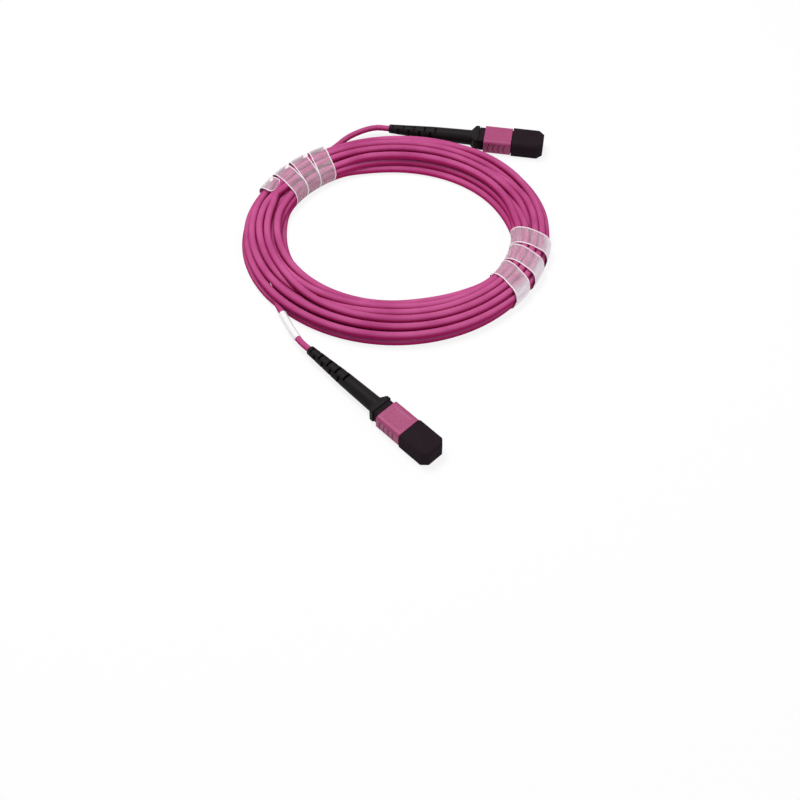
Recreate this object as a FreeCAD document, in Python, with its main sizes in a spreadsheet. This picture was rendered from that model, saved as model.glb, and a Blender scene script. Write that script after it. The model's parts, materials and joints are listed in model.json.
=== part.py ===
"""Coiled multi-fibre patch cable with two push-on plugs, tied with two film strips.

Millimetres, +Z up. The cable lies on the plane Z = 0. Each plug is drawn in its own frame: X runs forward
along the plug from the rear edge of its outer housing, Y is its width and Z its height.
"""

import FreeCAD
import Part
import math
import os

import Sketcher
from FreeCAD import Placement, Rotation, Vector

# Driving sizes: name, value, meaning
SIZES = (
    ("coil_x", -0.2745, "coil centre"),
    ("coil_y", 26.6294, "coil centre"),
    ("coil_half_long", 62.0, "middle of the bundle, half the long axis"),
    ("coil_half_short", 54.0, "middle of the bundle, half the short axis"),
    ("bundle_width", 20.4, "bundle of turns, across"),
    ("bundle_height", 10.6, "bundle of turns, high"),
    ("bundle_bevel", 3.4, "bevel that rounds the bundle's edges"),
    ("lead_diameter", 2.8, "jacket of the free ends"),
    ("film_thickness", 0.25, "film strip"),
    ("film_clearance", 0.3, "film to bundle"),
    ("film_floor", 0.1, "film to the floor"),
    ("film_width", 8.4, "film strip, across"),
    ("film_pitch", 11.4, "film strip, advance in a turn"),
    ("film_turns", 3.0, "turns of each film strip"),
    ("film_right_angle", -21.0, "middle of the right strip, round the coil, degrees"),
    ("film_left_angle", 139.6, "middle of the left strip, round the coil, degrees"),
    ("film_bed_margin", 3.0, "relief under a strip, past each end"),
    ("marker_length", 17.0, "white sleeve on the front lead"),
    ("marker_start", 8.5, "boot's end to white sleeve"),
    ("marker_wall", 0.2, "white sleeve wall"),
    ("marker_clearance", 0.05, "white sleeve on its lead"),
    ("lead_run_out", 9.8, "straight run of each lead out of its boot"),
    ("plug_a_x", 68.0, "rear edge of the front plug's outer housing, from the coil's left side"),
    ("plug_a_y", 38.5, "rear edge of the front plug's outer housing, ahead of the coil's front"),
    ("plug_a_turn", -45.6, "front plug, degrees about Z"),
    ("plug_b_x", 43.0, "rear edge of the back plug's outer housing, from the coil's centre"),
    ("plug_b_y", 1.1, "rear edge of the back plug's outer housing, short of the coil's back"),
    ("plug_b_turn", -9.0, "back plug, degrees about Z"),
    ("frame_width", 9.6, "plug frame"),
    ("frame_height", 6.5, "plug frame"),
    ("frame_tail", 2.6, "plug frame behind the outer housing"),
    ("nose_length", 8.2, "plug frame ahead of the outer housing"),
    ("frame_round", 0.6, "plug frame's long edges"),
    ("cavity_width", 7.3, "space inside the frame"),
    ("cavity_height", 4.6, "space inside the frame"),
    ("key_width", 3.0, "key on the nose"),
    ("key_height", 0.4, "key on the nose"),
    ("key_length", 6.6, "key on the nose"),
    ("notch_length", 3.4, "latch notch in each side of the nose"),
    ("notch_depth", 0.9, "latch notch"),
    ("notch_height", 3.2, "latch notch"),
    ("notch_lip", 1.4, "latch notch to the nose's end"),
    ("slide_clearance", 0.15, "outer housing on frame"),
    ("sleeve_length", 13.4, "outer housing"),
    ("sleeve_wall_side", 1.25, "outer housing"),
    ("sleeve_wall_top", 0.5, "outer housing"),
    ("sleeve_round", 1.7, "outer housing's long edges"),
    ("sleeve_travel", 2.5, "outer housing pulls back this far"),
    ("grip_pitch", 2.55, "grip grooves on each side"),
    ("grip_width", 0.9, "grip groove"),
    ("grip_depth", 0.4, "grip groove"),
    ("grip_start", 2.6, "first grip groove"),
    ("grip_count", 4, "grip grooves on each side"),
    ("coupling_outer", 1.3, "coupling spring, outside diameter"),
    ("coupling_wire", 0.24, "coupling spring wire"),
    ("coupling_coils", 6.0, "coupling spring turns"),
    ("coupling_seat", 2.2, "rear end of each coupling spring"),
    ("groove_depth", 0.75, "spring groove in the frame's side"),
    ("groove_clearance", 0.1, "coupling spring in its groove"),
    ("lug_start", 9.6, "stop lug inside the outer housing"),
    ("lug_length", 1.3, "stop lug"),
    ("lug_clearance", 0.1, "stop lug in the frame's groove"),
    ("seat_gap", 0.05, "gap between pieces that seat on each other"),
    ("ferrule_width", 6.4, "ferrule"),
    ("ferrule_height", 2.5, "ferrule"),
    ("ferrule_length", 8.0, "ferrule"),
    ("ferrule_reach", 0.9, "ferrule ahead of the nose"),
    ("ferrule_clearance", 0.1, "ferrule in the nose"),
    ("ferrule_float", 0.6, "ferrule springs back this far"),
    ("flange_width", 7.0, "ferrule's rear flange"),
    ("flange_height", 3.2, "ferrule's rear flange"),
    ("flange_length", 1.8, "ferrule's rear flange"),
    ("guide_pitch", 4.6, "guide pins of the ferrule"),
    ("guide_diameter", 0.7, "guide pin"),
    ("guide_length", 2.0, "guide pin ahead of the ferrule"),
    ("window_width", 3.6, "window in the ferrule's back and the clamp"),
    ("window_height", 1.4, "window in the ferrule's back and the clamp"),
    ("window_depth", 2.5, "window in the ferrule's back"),
    ("clamp_length", 2.1, "spacer plate behind the ferrule"),
    ("clamp_width", 6.6, "spacer plate"),
    ("clamp_height", 3.4, "spacer plate"),
    ("ribbon_width", 3.0, "fibre ribbon"),
    ("ribbon_height", 0.3, "fibre ribbon"),
    ("ribbon_clearance", 0.04, "fibre ribbon in its boot"),
    ("boot_fit", 0.1, "ferrule boot in its window"),
    ("spring_outer", 4.3, "ferrule spring, outside diameter"),
    ("spring_wire", 0.4, "ferrule spring wire"),
    ("spring_coils", 4.5, "ferrule spring turns"),
    ("push_front", 4.2, "front face of the back post"),
    ("push_clearance", 0.1, "back post in the frame"),
    ("push_flange", 1.3, "back post's flange behind the frame"),
    ("push_margin", 0.5, "back post's flange inside the frame's outline"),
    ("barrel_length", 6.6, "crimp barrel"),
    ("barrel_diameter", 4.0, "crimp barrel"),
    ("barrel_bore", 3.2, "crimp barrel"),
    ("yarn_thickness", 0.26, "folded yarn on the barrel"),
    ("yarn_gap", 0.02, "yarn to barrel and ring"),
    ("crimp_wall", 0.3, "crimp ring"),
    ("crimp_neck", 4.2, "crimp ring's neck on the jacket"),
    ("crimp_cone", 1.4, "crimp ring between barrel and neck"),
    ("boot_length", 40.8, "strain boot behind its skirt"),
    ("boot_tail_diameter", 4.2, "strain boot's free end"),
    ("boot_mid_diameter", 6.5, "strain boot half way"),
    ("boot_root_diameter", 7.3, "strain boot at its skirt"),
    ("boot_mid", 19.0, "strain boot, root to half way"),
    ("boot_clearance", 0.1, "strain boot on what it covers"),
    ("slot_pitch", 2.65, "boot slots"),
    ("slot_width", 0.8, "boot slot"),
    ("slot_bridge", 2.6, "web left beside a boot slot"),
    ("slot_start", 1.6, "boot's end to the first slot"),
    ("slots_upright", 5, "slots that open above and below"),
    ("slots_sideways", 4, "slots that open to the sides, between the upright ones"),
    ("skirt_width", 10.8, "boot's square skirt"),
    ("skirt_height", 7.4, "boot's square skirt"),
    ("skirt_wall", 0.6, "boot's square skirt"),
    ("skirt_rim", 1.7, "straight rim of the skirt"),
    ("skirt_slope", 2.1, "sloping shoulder of the skirt"),
    ("skirt_angle", 38.0, "slope of the shoulder, degrees"),
    ("skirt_gap", 0.3, "skirt to the pulled-back outer housing"),
    ("cap_length", 15.2, "dust cap"),
    ("cap_gap", 0.3, "dust cap to outer housing"),
    ("cap_clearance", 0.15, "dust cap on the nose"),
    ("cap_wall_side", 1.4, "dust cap"),
    ("cap_wall_top", 0.75, "dust cap"),
    ("cap_front_wall", 1.4, "dust cap"),
    ("cap_corner", 2.5, "dust cap's cut front corners"),
    ("cap_bevel", 0.9, "dust cap's bevelled edges"),
)

# Free ends of the cable: points of each route after the plug. The front one is measured from the coil's
# left front corner and the back one from the middle of the coil's back.
LEAD_A_ROUTE = ((20.6, 19.0, 2.6), (11.7, 37.2, 2.0))
LEAD_B_ROUTE = ((-23.9, 2.1, 3.2), (-29.2, -7.2, 2.6), (-39.0, -15.4, 2.4))

# Share of the shorter run that an arc takes from each side of a corner
ARC_SHARE = 0.45

# Lengths below this count as nothing
TINY = 1e-6


class Dim:
    """A size with the sheet expression that gives it."""

    def __init__(self, value, text):
        self.value = float(value)
        self.text = text

    @staticmethod
    def of(other):
        """A plain number as a Dim."""
        return other if isinstance(other, Dim) else Dim(other, repr(float(other)))

    def __add__(self, other):
        other = Dim.of(other)
        return Dim(self.value + other.value, f"({self.text} + {other.text})")

    def __radd__(self, other):
        return Dim.of(other) + self

    def __sub__(self, other):
        other = Dim.of(other)
        return Dim(self.value - other.value, f"({self.text} - {other.text})")

    def __rsub__(self, other):
        return Dim.of(other) - self

    def __mul__(self, other):
        other = Dim.of(other)
        return Dim(self.value * other.value, f"({self.text} * {other.text})")

    def __rmul__(self, other):
        return Dim.of(other) * self

    def __truediv__(self, other):
        other = Dim.of(other)
        return Dim(self.value / other.value, f"({self.text} / {other.text})")

    def __neg__(self):
        return 0 - self


doc = FreeCAD.newDocument("patch_cable")
sheet = doc.addObject("Spreadsheet::Sheet", "sizes")
for row, (alias, number, meaning) in enumerate(SIZES, start=1):
    sheet.set(f"A{row}", alias)
    sheet.set(f"B{row}", str(number))
    sheet.set(f"C{row}", meaning)
    sheet.setAlias(f"B{row}", alias)
doc.recompute()

VALUES = {alias: float(number) for alias, number, _ in SIZES}
NODES = []


def size(name):
    """A driving size by its name in the sheet."""
    return Dim(VALUES[name], f"sizes.{name}")


# Sizes that follow from the driving ones

COIL_LEFT = size("coil_x") - size("coil_half_long") - size("bundle_width") / 2
COIL_FRONT = size("coil_y") - size("coil_half_short") - size("bundle_width") / 2
COIL_BACK = size("coil_y") + size("coil_half_short") + size("bundle_width") / 2
SLEEVE_WIDTH = size("frame_width") + 2 * (size("slide_clearance") + size("sleeve_wall_side"))
SLEEVE_HEIGHT = size("frame_height") + 2 * (size("slide_clearance") + size("sleeve_wall_top"))
SLEEVE_BORE_WIDTH = size("frame_width") + 2 * size("slide_clearance")
SLEEVE_BORE_HEIGHT = size("frame_height") + 2 * size("slide_clearance")
CAP_BORE_WIDTH = size("frame_width") + 2 * size("cap_clearance")
CAP_BORE_HEIGHT = size("frame_height") + 2 * size("cap_clearance")
CAP_WIDTH = CAP_BORE_WIDTH + 2 * size("cap_wall_side")
CAP_HEIGHT = CAP_BORE_HEIGHT + 2 * size("cap_wall_top")
AXIS_HEIGHT = CAP_HEIGHT / 2
NOSE_END = size("sleeve_length") + size("nose_length")
CAP_START = size("sleeve_length") + size("cap_gap")
FERRULE_FACE = NOSE_END + size("ferrule_reach")
FERRULE_BACK = FERRULE_FACE - size("ferrule_length")
FLANGE_FRONT = FERRULE_BACK + size("flange_length")
SHOULDER = FLANGE_FRONT + size("seat_gap")
CLAMP_FRONT = FERRULE_BACK - size("seat_gap")
CLAMP_BACK = CLAMP_FRONT - size("clamp_length")
SPRING_FRONT = CLAMP_BACK - size("seat_gap")
SPRING_BACK = size("push_front") + size("seat_gap")
GROOVE_HEIGHT = size("coupling_outer") + 2 * size("groove_clearance")
GROOVE_FRONT = size("lug_start") + size("lug_length") + size("seat_gap")
GROOVE_FLOOR = size("frame_width") / 2 - size("groove_depth")
COUPLING_AXIS = GROOVE_FLOOR + size("groove_clearance") + size("coupling_outer") / 2
CHANNEL_FLOOR = COUPLING_AXIS + size("coupling_outer") / 2 + size("groove_clearance")
COUPLING_BACK = size("coupling_seat") + size("seat_gap")
COUPLING_FRONT = size("lug_start") - size("seat_gap")
PUSH_SEAT = -size("frame_tail") - size("seat_gap")
PUSH_BACK = PUSH_SEAT - size("push_flange")
BARREL_END = PUSH_BACK - size("barrel_length")
YARN_INSIDE = size("barrel_diameter") / 2 + size("yarn_gap")
YARN_OUTSIDE = YARN_INSIDE + size("yarn_thickness")
CRIMP_INSIDE = YARN_OUTSIDE + size("yarn_gap")
CRIMP_OUTSIDE = CRIMP_INSIDE + size("crimp_wall")
CRIMP_FRONT = PUSH_BACK - size("seat_gap")
NECK_INSIDE = size("lead_diameter") / 2 + size("yarn_gap")
NECK_OUTSIDE = NECK_INSIDE + size("crimp_wall")
NECK_FRONT = BARREL_END - size("crimp_cone")
NECK_END = NECK_FRONT - size("crimp_neck")
JACKET_END = NECK_FRONT - size("seat_gap")
SKIRT_FRONT = -size("sleeve_travel") - size("skirt_gap")
SKIRT_BACK = SKIRT_FRONT - size("skirt_rim")
BOOT_ROOT = SKIRT_BACK - size("skirt_slope")
BOOT_TAIL = BOOT_ROOT - size("boot_length")
BOOT_MID = BOOT_ROOT - size("boot_mid")


# Helpers that bind features to the sheet

def bind(feature, prop, dim):
    """Ties a feature's property to a size."""
    feature.setExpression(prop, Dim.of(dim).text)


def new_body(label, place=None):
    """An empty body with its label and, on a plug, the plug's place."""
    body = doc.addObject("PartDesign::Body", label)
    body.Label = label
    if place is not None:
        x, y, z, turn = place
        body.Placement = Placement(Vector(x.value, y.value, z.value), Rotation(Vector(0, 0, 1), turn.value))
        bind(body, "Placement.Base.x", x)
        bind(body, "Placement.Base.y", y)
        bind(body, "Placement.Base.z", z)
        bind(body, "Placement.Rotation.Angle", turn)
    NODES.append(body)
    return body


def origin_of(body, role):
    """One of the body's own origin planes or axes."""
    return next(item for item in body.Origin.OriginFeatures if item.Role == role)


def new_sketch(body, plane, lift=0):
    """A sketch on one of the body's origin planes, lifted along the plane's normal."""
    sketch = body.newObject("Sketcher::SketchObject", f"{body.Name}_sketch")
    sketch.AttachmentSupport = [(origin_of(body, plane), "")]
    sketch.MapMode = "FlatFace"
    lift = Dim.of(lift)
    sketch.AttachmentOffset = Placement(Vector(0, 0, lift.value), Rotation())
    bind(sketch, "AttachmentOffset.Base.z", lift)
    return sketch


def pin_point(sketch, geometry, point, x, y):
    """Holds a sketch point at x, y from the sketch's origin."""
    for kind, axis, dim in (("DistanceX", -2, x), ("DistanceY", -1, y)):
        if not isinstance(dim, Dim):
            sketch.addConstraint(Sketcher.Constraint("PointOnObject", geometry, point, axis))
            continue
        index = sketch.addConstraint(Sketcher.Constraint(kind, -1, 1, geometry, point, dim.value))
        bind(sketch, f"Constraints[{index}]", dim)


def polygon(sketch, points):
    """A closed outline; each coordinate is a size, or 0 on an axis."""
    values = [Vector(Dim.of(x).value, Dim.of(y).value, 0) for x, y in points]
    first = sketch.GeometryCount
    for start, end in zip(values, values[1:] + values[:1]):
        sketch.addGeometry(Part.LineSegment(start, end), False)
    last = sketch.GeometryCount
    for index in range(first, last):
        following = index + 1 if index + 1 < last else first
        sketch.addConstraint(Sketcher.Constraint("Coincident", index, 2, following, 1))
        pin_point(sketch, index, 1, *points[index - first])


def rectangle(sketch, left, right, low, high):
    """A rectangle between four sizes."""
    polygon(sketch, ((left, low), (right, low), (right, high), (left, high)))


def centred_rectangle(sketch, width, height):
    """A rectangle about the sketch's origin."""
    rectangle(sketch, -width / 2, width / 2, -height / 2, height / 2)


def circle(sketch, radius, x=0, y=0):
    """A circle about a point of the sketch."""
    centre = Vector(Dim.of(x).value, Dim.of(y).value, 0)
    index = sketch.addGeometry(Part.Circle(centre, Vector(0, 0, 1), radius.value), False)
    pin_point(sketch, index, 3, x, y)
    number = sketch.addConstraint(Sketcher.Constraint("Radius", index, radius.value))
    bind(sketch, f"Constraints[{number}]", radius)


def extrude(body, kind, sketch, length=None, reverse=False, both_ways=False):
    """A Pad or Pocket; with no length it goes through all, both ways."""
    feature = body.newObject(f"PartDesign::{kind}", f"{body.Name}_{kind.lower()}")
    feature.Profile = sketch
    if both_ways or length is None:
        feature.SideType = "Symmetric"
    if length is None:
        feature.Type = "ThroughAll"
    else:
        bind(feature, "Length", length)
    feature.Reversed = reverse
    sketch.Visibility = False
    return feature


def block(body, width, height, start, length):
    """A rectangular bar along X, about the body's X axis."""
    sketch = new_sketch(body, "YZ_Plane", start)
    centred_rectangle(sketch, width, height)
    return extrude(body, "Pad", sketch, length)


def cut_forward(body, width, height, start, length):
    """A rectangular hole along +X from a start."""
    sketch = new_sketch(body, "YZ_Plane", start)
    centred_rectangle(sketch, width, height)
    return extrude(body, "Pocket", sketch, length, reverse=True)


def cut_through(body, width, height):
    """A rectangular hole along X, right through."""
    sketch = new_sketch(body, "YZ_Plane")
    centred_rectangle(sketch, width, height)
    return extrude(body, "Pocket", sketch)


def cut_sides(body, start, end, floor, reach, height=None):
    """A recess in both narrow sides, from a floor outwards."""
    sketch = new_sketch(body, "XY_Plane")
    rectangle(sketch, start, end, floor, reach)
    rectangle(sketch, start, end, -reach, -floor)
    return extrude(body, "Pocket", sketch, height, both_ways=True)


def turned(body, kind, points):
    """A Revolution or Groove of an outline about the body's X axis."""
    sketch = new_sketch(body, "XY_Plane")
    polygon(sketch, points)
    feature = body.newObject(f"PartDesign::{kind}", f"{body.Name}_{kind.lower()}")
    feature.Profile = sketch
    feature.ReferenceAxis = (origin_of(body, "X_Axis"), [""])
    feature.Angle = 360
    return feature


def repeat_along_x(body, feature, pitch, count):
    """A row of copies of a cut along X."""
    pattern = body.newObject("PartDesign::LinearPattern", f"{body.Name}_row")
    pattern.Originals = [feature]
    pattern.Direction = (origin_of(body, "X_Axis"), [""])
    pattern.Mode = "Spacing"
    bind(pattern, "Offset", pitch)
    bind(pattern, "Occurrences", count)
    body.Tip = pattern
    return pattern


def edge_names(feature, wanted):
    """Names of the feature's edges for which wanted(edge) is true."""
    doc.recompute()
    return [f"Edge{number}" for number, edge in enumerate(feature.Shape.Edges, start=1) if wanted(edge)]


def dress_edges(body, kind, base, wanted, amount):
    """A Fillet or Chamfer on the chosen edges of a feature."""
    names = edge_names(base, wanted)
    feature = body.newObject(f"PartDesign::{kind}", f"{body.Name}_{kind.lower()}")
    feature.Base = (base, names)
    bind(feature, "Radius" if kind == "Fillet" else "Size", amount)
    return feature


def spans(edge, axis):
    """How far an edge reaches along an axis."""
    return getattr(edge.BoundBox, f"{axis}Length")


def runs_along(axis):
    """A test for straight edges along one axis."""
    others = [name for name in "XYZ" if name != axis]
    return lambda edge: all(spans(edge, name) < TINY for name in others)


def wound_spring(label, place, outer, wire, coils, back, front, offset):
    """A square-wire coil spring along X, its axis at a sideways offset."""
    body = new_body(label, place)
    sketch = new_sketch(body, "XY_Plane")
    height = Dim.of(offset).value
    axis = sketch.addGeometry(Part.LineSegment(Vector(0, height, 0), Vector(outer.value, height, 0)), True)
    sketch.addConstraint(Sketcher.Constraint("Horizontal", axis))
    pin_point(sketch, axis, 1, 0, offset)
    number = sketch.addConstraint(Sketcher.Constraint("DistanceX", axis, 1, axis, 2, outer.value))
    bind(sketch, f"Constraints[{number}]", outer)
    outside = offset + outer / 2
    rectangle(sketch, back, back + wire, outside - wire, outside)
    feature = body.newObject("PartDesign::AdditiveHelix", f"{label}_helix")
    feature.Profile = sketch
    feature.ReferenceAxis = (sketch, ["Axis0"])
    feature.Mode = "height-turns-angle"
    bind(feature, "Height", front - back - wire)
    bind(feature, "Turns", coils)
    return body


# Cable

def coil_point(angle, out, height):
    """A point of the ring at an angle, out from the bundle's middle, in the part's frame."""
    x = VALUES["coil_x"] + (VALUES["coil_half_long"] + out) * math.cos(angle)
    y = VALUES["coil_y"] + (VALUES["coil_half_short"] + out) * math.sin(angle)
    return Vector(x, y, height)


def coil_angle_step(angle, distance):
    """The change of angle that moves a distance along the bundle's middle."""
    across = VALUES["coil_half_long"] * math.sin(angle)
    ahead = VALUES["coil_half_short"] * math.cos(angle)
    return distance / math.hypot(across, ahead)


def film_span():
    """Length along the bundle that a film strip takes up."""
    return VALUES["film_pitch"] * VALUES["film_turns"] + VALUES["film_width"]


def make_coil():
    """The wound turns as one closed ring, with a relief in its underside for each film strip."""
    body = new_body("cable_coil")
    sketch = new_sketch(body, "XY_Plane")
    for sign in (1, -1):
        long_half = size("coil_half_long") + sign * size("bundle_width") / 2
        short_half = size("coil_half_short") + sign * size("bundle_width") / 2
        index = sketch.addGeometry(Part.Ellipse(Vector(0, 0, 0), long_half.value, short_half.value), False)
        sketch.exposeInternalGeometry(index)
        long_axis = index + 1
        short_axis = index + 2
        pin_point(sketch, index, 3, 0, 0)
        sketch.addConstraint(Sketcher.Constraint("Horizontal", long_axis))
        for axis, half in ((long_axis, long_half), (short_axis, short_half)):
            number = sketch.addConstraint(Sketcher.Constraint("Distance", axis, 2 * half.value))
            bind(sketch, f"Constraints[{number}]", 2 * half)
    ring = extrude(body, "Pad", sketch, size("bundle_height"))
    dress_edges(body, "Chamfer", ring, lambda edge: spans(edge, "Z") < TINY, size("bundle_bevel"))
    bed = new_sketch(body, "XY_Plane")
    reach = VALUES["bundle_width"]
    for name in ("film_left_angle", "film_right_angle"):
        middle = math.radians(VALUES[name])
        half = coil_angle_step(middle, film_span() / 2 + VALUES["film_bed_margin"])
        corners = ((middle - half, -reach), (middle + half, -reach),
                   (middle + half, reach), (middle - half, reach))
        points = [coil_point(angle, out, 0) - Vector(VALUES["coil_x"], VALUES["coil_y"], 0)
                  for angle, out in corners]
        for start, end in zip(points, points[1:] + points[:1]):
            sketch_line(bed, start, end)
    depth = size("film_floor") + size("film_thickness") + size("film_clearance")
    extrude(body, "Pocket", bed, depth, reverse=True)
    body.Placement = Placement(Vector(VALUES["coil_x"], VALUES["coil_y"], 0), Rotation())
    bind(body, "Placement.Base.x", size("coil_x"))
    bind(body, "Placement.Base.y", size("coil_y"))
    doc.recompute()
    return body.Shape


def sketch_line(sketch, start, end):
    """A fixed line of a sketch."""
    index = sketch.addGeometry(Part.LineSegment(start, end), False)
    sketch.addConstraint(Sketcher.Constraint("Block", index))


def film_section():
    """Corners of the bundle's bevelled section, as (out, height), moved out by the film's clearance."""
    side = VALUES["bundle_width"] / 2
    knee = side - VALUES["bundle_bevel"]
    gap = VALUES["film_clearance"]
    slant = gap * math.sqrt(2)
    low = VALUES["film_floor"] + VALUES["film_thickness"]
    high = VALUES["bundle_height"] + gap
    top_knee = knee + slant - gap
    low_knee = knee + slant + low
    top_side = VALUES["bundle_height"] - VALUES["bundle_bevel"] + slant - gap
    low_side = side + gap - knee - slant
    half = side + gap
    return [(-top_knee, high), (top_knee, high), (half, top_side), (half, low_side),
            (low_knee, low), (-low_knee, low), (-half, low_side), (-half, top_side)]


def outset(section):
    """The section moved out by the film's thickness; its corners turn by an eighth of a circle."""
    grow = VALUES["film_thickness"]
    skew = grow * math.tan(math.pi / 8)
    half = max(out for out, _ in section)
    heights = [height for _, height in section]
    middle = (min(heights) + max(heights)) / 2
    moved = []
    for out, height in section:
        on_side = abs(abs(out) - half) < TINY
        step_out = math.copysign(grow if on_side else skew, out)
        step_up = math.copysign(skew if on_side else grow, height - middle)
        moved.append((out + step_out, height + step_up))
    return moved


def triangles(a, b, c, d):
    """Two flat faces that close the four-sided gap a, b, c, d."""
    return [Part.Face(Part.makePolygon([a, b, c, a])), Part.Face(Part.makePolygon([a, c, d, a]))]


def make_film(label, middle_name):
    """A film strip folded round the bundle's bevelled section as it goes back along the ring.

    It starts on top, at the outer bevel, and first goes down the outside.
    """
    inner = film_section()
    outer = outset(inner)
    steps = round(VALUES["film_turns"] * len(inner))
    middle = math.radians(VALUES[middle_name])
    rings = []
    for step in range(steps + 1):
        along = VALUES["film_pitch"] * (VALUES["film_turns"] / 2 - step / len(inner))
        edges = [along + side * VALUES["film_width"] / 2 for side in (1, -1)]
        angles = [middle + coil_angle_step(middle, edge) for edge in edges]
        corner = (step + 1) % len(inner)
        rings.append([coil_point(angles[0], *inner[corner]), coil_point(angles[1], *inner[corner]),
                      coil_point(angles[1], *outer[corner]), coil_point(angles[0], *outer[corner])])
    faces = triangles(*rings[0]) + triangles(*reversed(rings[-1]))
    for here, ahead in zip(rings, rings[1:]):
        for first in range(4):
            second = (first + 1) % 4
            faces += triangles(here[first], ahead[first], ahead[second], here[second])
    solid = Part.makeSolid(Part.makeShell(faces))
    add_shape(label, solid if solid.Volume > 0 else solid.reversed())


def add_shape(label, shape):
    """A piece whose shape is worked out from the sheet's values."""
    piece = doc.addObject("Part::Feature", label)
    piece.Label = label
    piece.Shape = shape
    NODES.append(piece)
    return piece


def rounded_route(points, name):
    """Edges of straight runs joined by tangent arcs, each arc as large as its runs allow."""
    edges = []
    start = points[0]
    for before, corner, after in zip(points, points[1:], points[2:]):
        inward = (before - corner).normalize()
        onward = (after - corner).normalize()
        turn = math.pi - inward.getAngle(onward)
        trim = ARC_SHARE * min(before.distanceToPoint(corner), corner.distanceToPoint(after))
        radius = trim / math.tan(turn / 2)
        print(f"{name}: turn {math.degrees(turn):.1f} deg, radius {radius:.1f} mm")
        first = corner + inward * trim
        last = corner + onward * trim
        bisector = (inward + onward).normalize()
        middle = corner + bisector * (radius / math.cos(turn / 2) - radius)
        edges.append(Part.LineSegment(start, first).toShape())
        edges.append(Part.Arc(first, middle, last).toShape())
        start = last
    edges.append(Part.LineSegment(start, points[-1]).toShape())
    return edges


def trimmed(edges, start, end):
    """The stretch of a route between two distances from its beginning."""
    kept = []
    passed = 0.0
    for edge in edges:
        low = max(start - passed, 0.0)
        high = min(end - passed, edge.Length)
        if high - low > TINY:
            kept.append(edge.Curve.toShape(edge.getParameterByLength(low), edge.getParameterByLength(high)))
        passed += edge.Length
    return kept


def tube(edges, diameter):
    """A round bar along tangent edges, with its volume compared with section times length."""
    spine = Part.Wire(edges)
    start = edges[0].valueAt(edges[0].FirstParameter)
    heading = edges[0].tangentAt(edges[0].FirstParameter)
    ring = Part.Wire(Part.Circle(start, heading, diameter / 2).toShape())
    solid = spine.makePipeShell([ring], True, True)
    ideal = math.pi * diameter ** 2 / 4 * spine.Length
    print(f"tube of {spine.Length:.1f} mm: volume is {solid.Volume / ideal:.4f} of section times length")
    return solid


def make_lead(label, place, route, corner_x, corner_y, coil_shape):
    """A free end of the cable, from inside the crimp ring to the side of the coil."""
    x, y, z, turn = place
    plug = Placement(Vector(x.value, y.value, z.value), Rotation(Vector(0, 0, 1), turn.value))
    points = [plug.multVec(Vector(JACKET_END.value, 0, 0))]
    points.append(plug.multVec(Vector(BOOT_TAIL.value - VALUES["lead_run_out"], 0, 0)))
    points += [Vector(corner_x.value + px, corner_y.value + py, pz) for px, py, pz in route]
    edges = rounded_route(points, label)
    whole = tube(edges, VALUES["lead_diameter"])
    outside = max(whole.cut(coil_shape).Solids, key=lambda solid: solid.Volume)
    add_shape(label, outside)
    return edges


def make_marker(edges, coil_shape):
    """The white sleeve, a thin tube round the front lead."""
    start = JACKET_END.value - BOOT_TAIL.value + VALUES["marker_start"]
    stretch = trimmed(edges, start, start + VALUES["marker_length"])
    bore = VALUES["lead_diameter"] + 2 * VALUES["marker_clearance"]
    outside = tube(stretch, bore + 2 * VALUES["marker_wall"])
    sleeve = outside.cut(tube(stretch, bore)).cut(coil_shape)
    add_shape("marker_sleeve", max(sleeve.Solids, key=lambda solid: solid.Volume))


# Plug

def make_dust_cap(tag, place):
    """Slip-on cover over the nose, with cut front corners and bevelled edges."""
    body = new_body(f"dust_cap_{tag}", place)
    solid = block(body, CAP_WIDTH, CAP_HEIGHT, CAP_START, size("cap_length"))
    upright = runs_along("Z")
    ahead = CAP_START.value + TINY
    cut = dress_edges(body, "Chamfer", solid, lambda edge: upright(edge) and edge.BoundBox.XMax > ahead,
                      size("cap_corner"))
    dress_edges(body, "Chamfer", cut, lambda edge: spans(edge, "Z") < TINY and edge.BoundBox.XMax > ahead,
                size("cap_bevel"))
    depth = size("cap_length") - size("cap_front_wall")
    cut_forward(body, CAP_BORE_WIDTH, CAP_BORE_HEIGHT, CAP_START, depth)
    slot = new_sketch(body, "YZ_Plane", CAP_START)
    half = size("key_width") / 2 + size("cap_clearance")
    rectangle(slot, -half, half, size("frame_height") / 4,
              size("frame_height") / 2 + size("key_height") + size("cap_clearance"))
    extrude(body, "Pocket", slot, depth, reverse=True)


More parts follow.
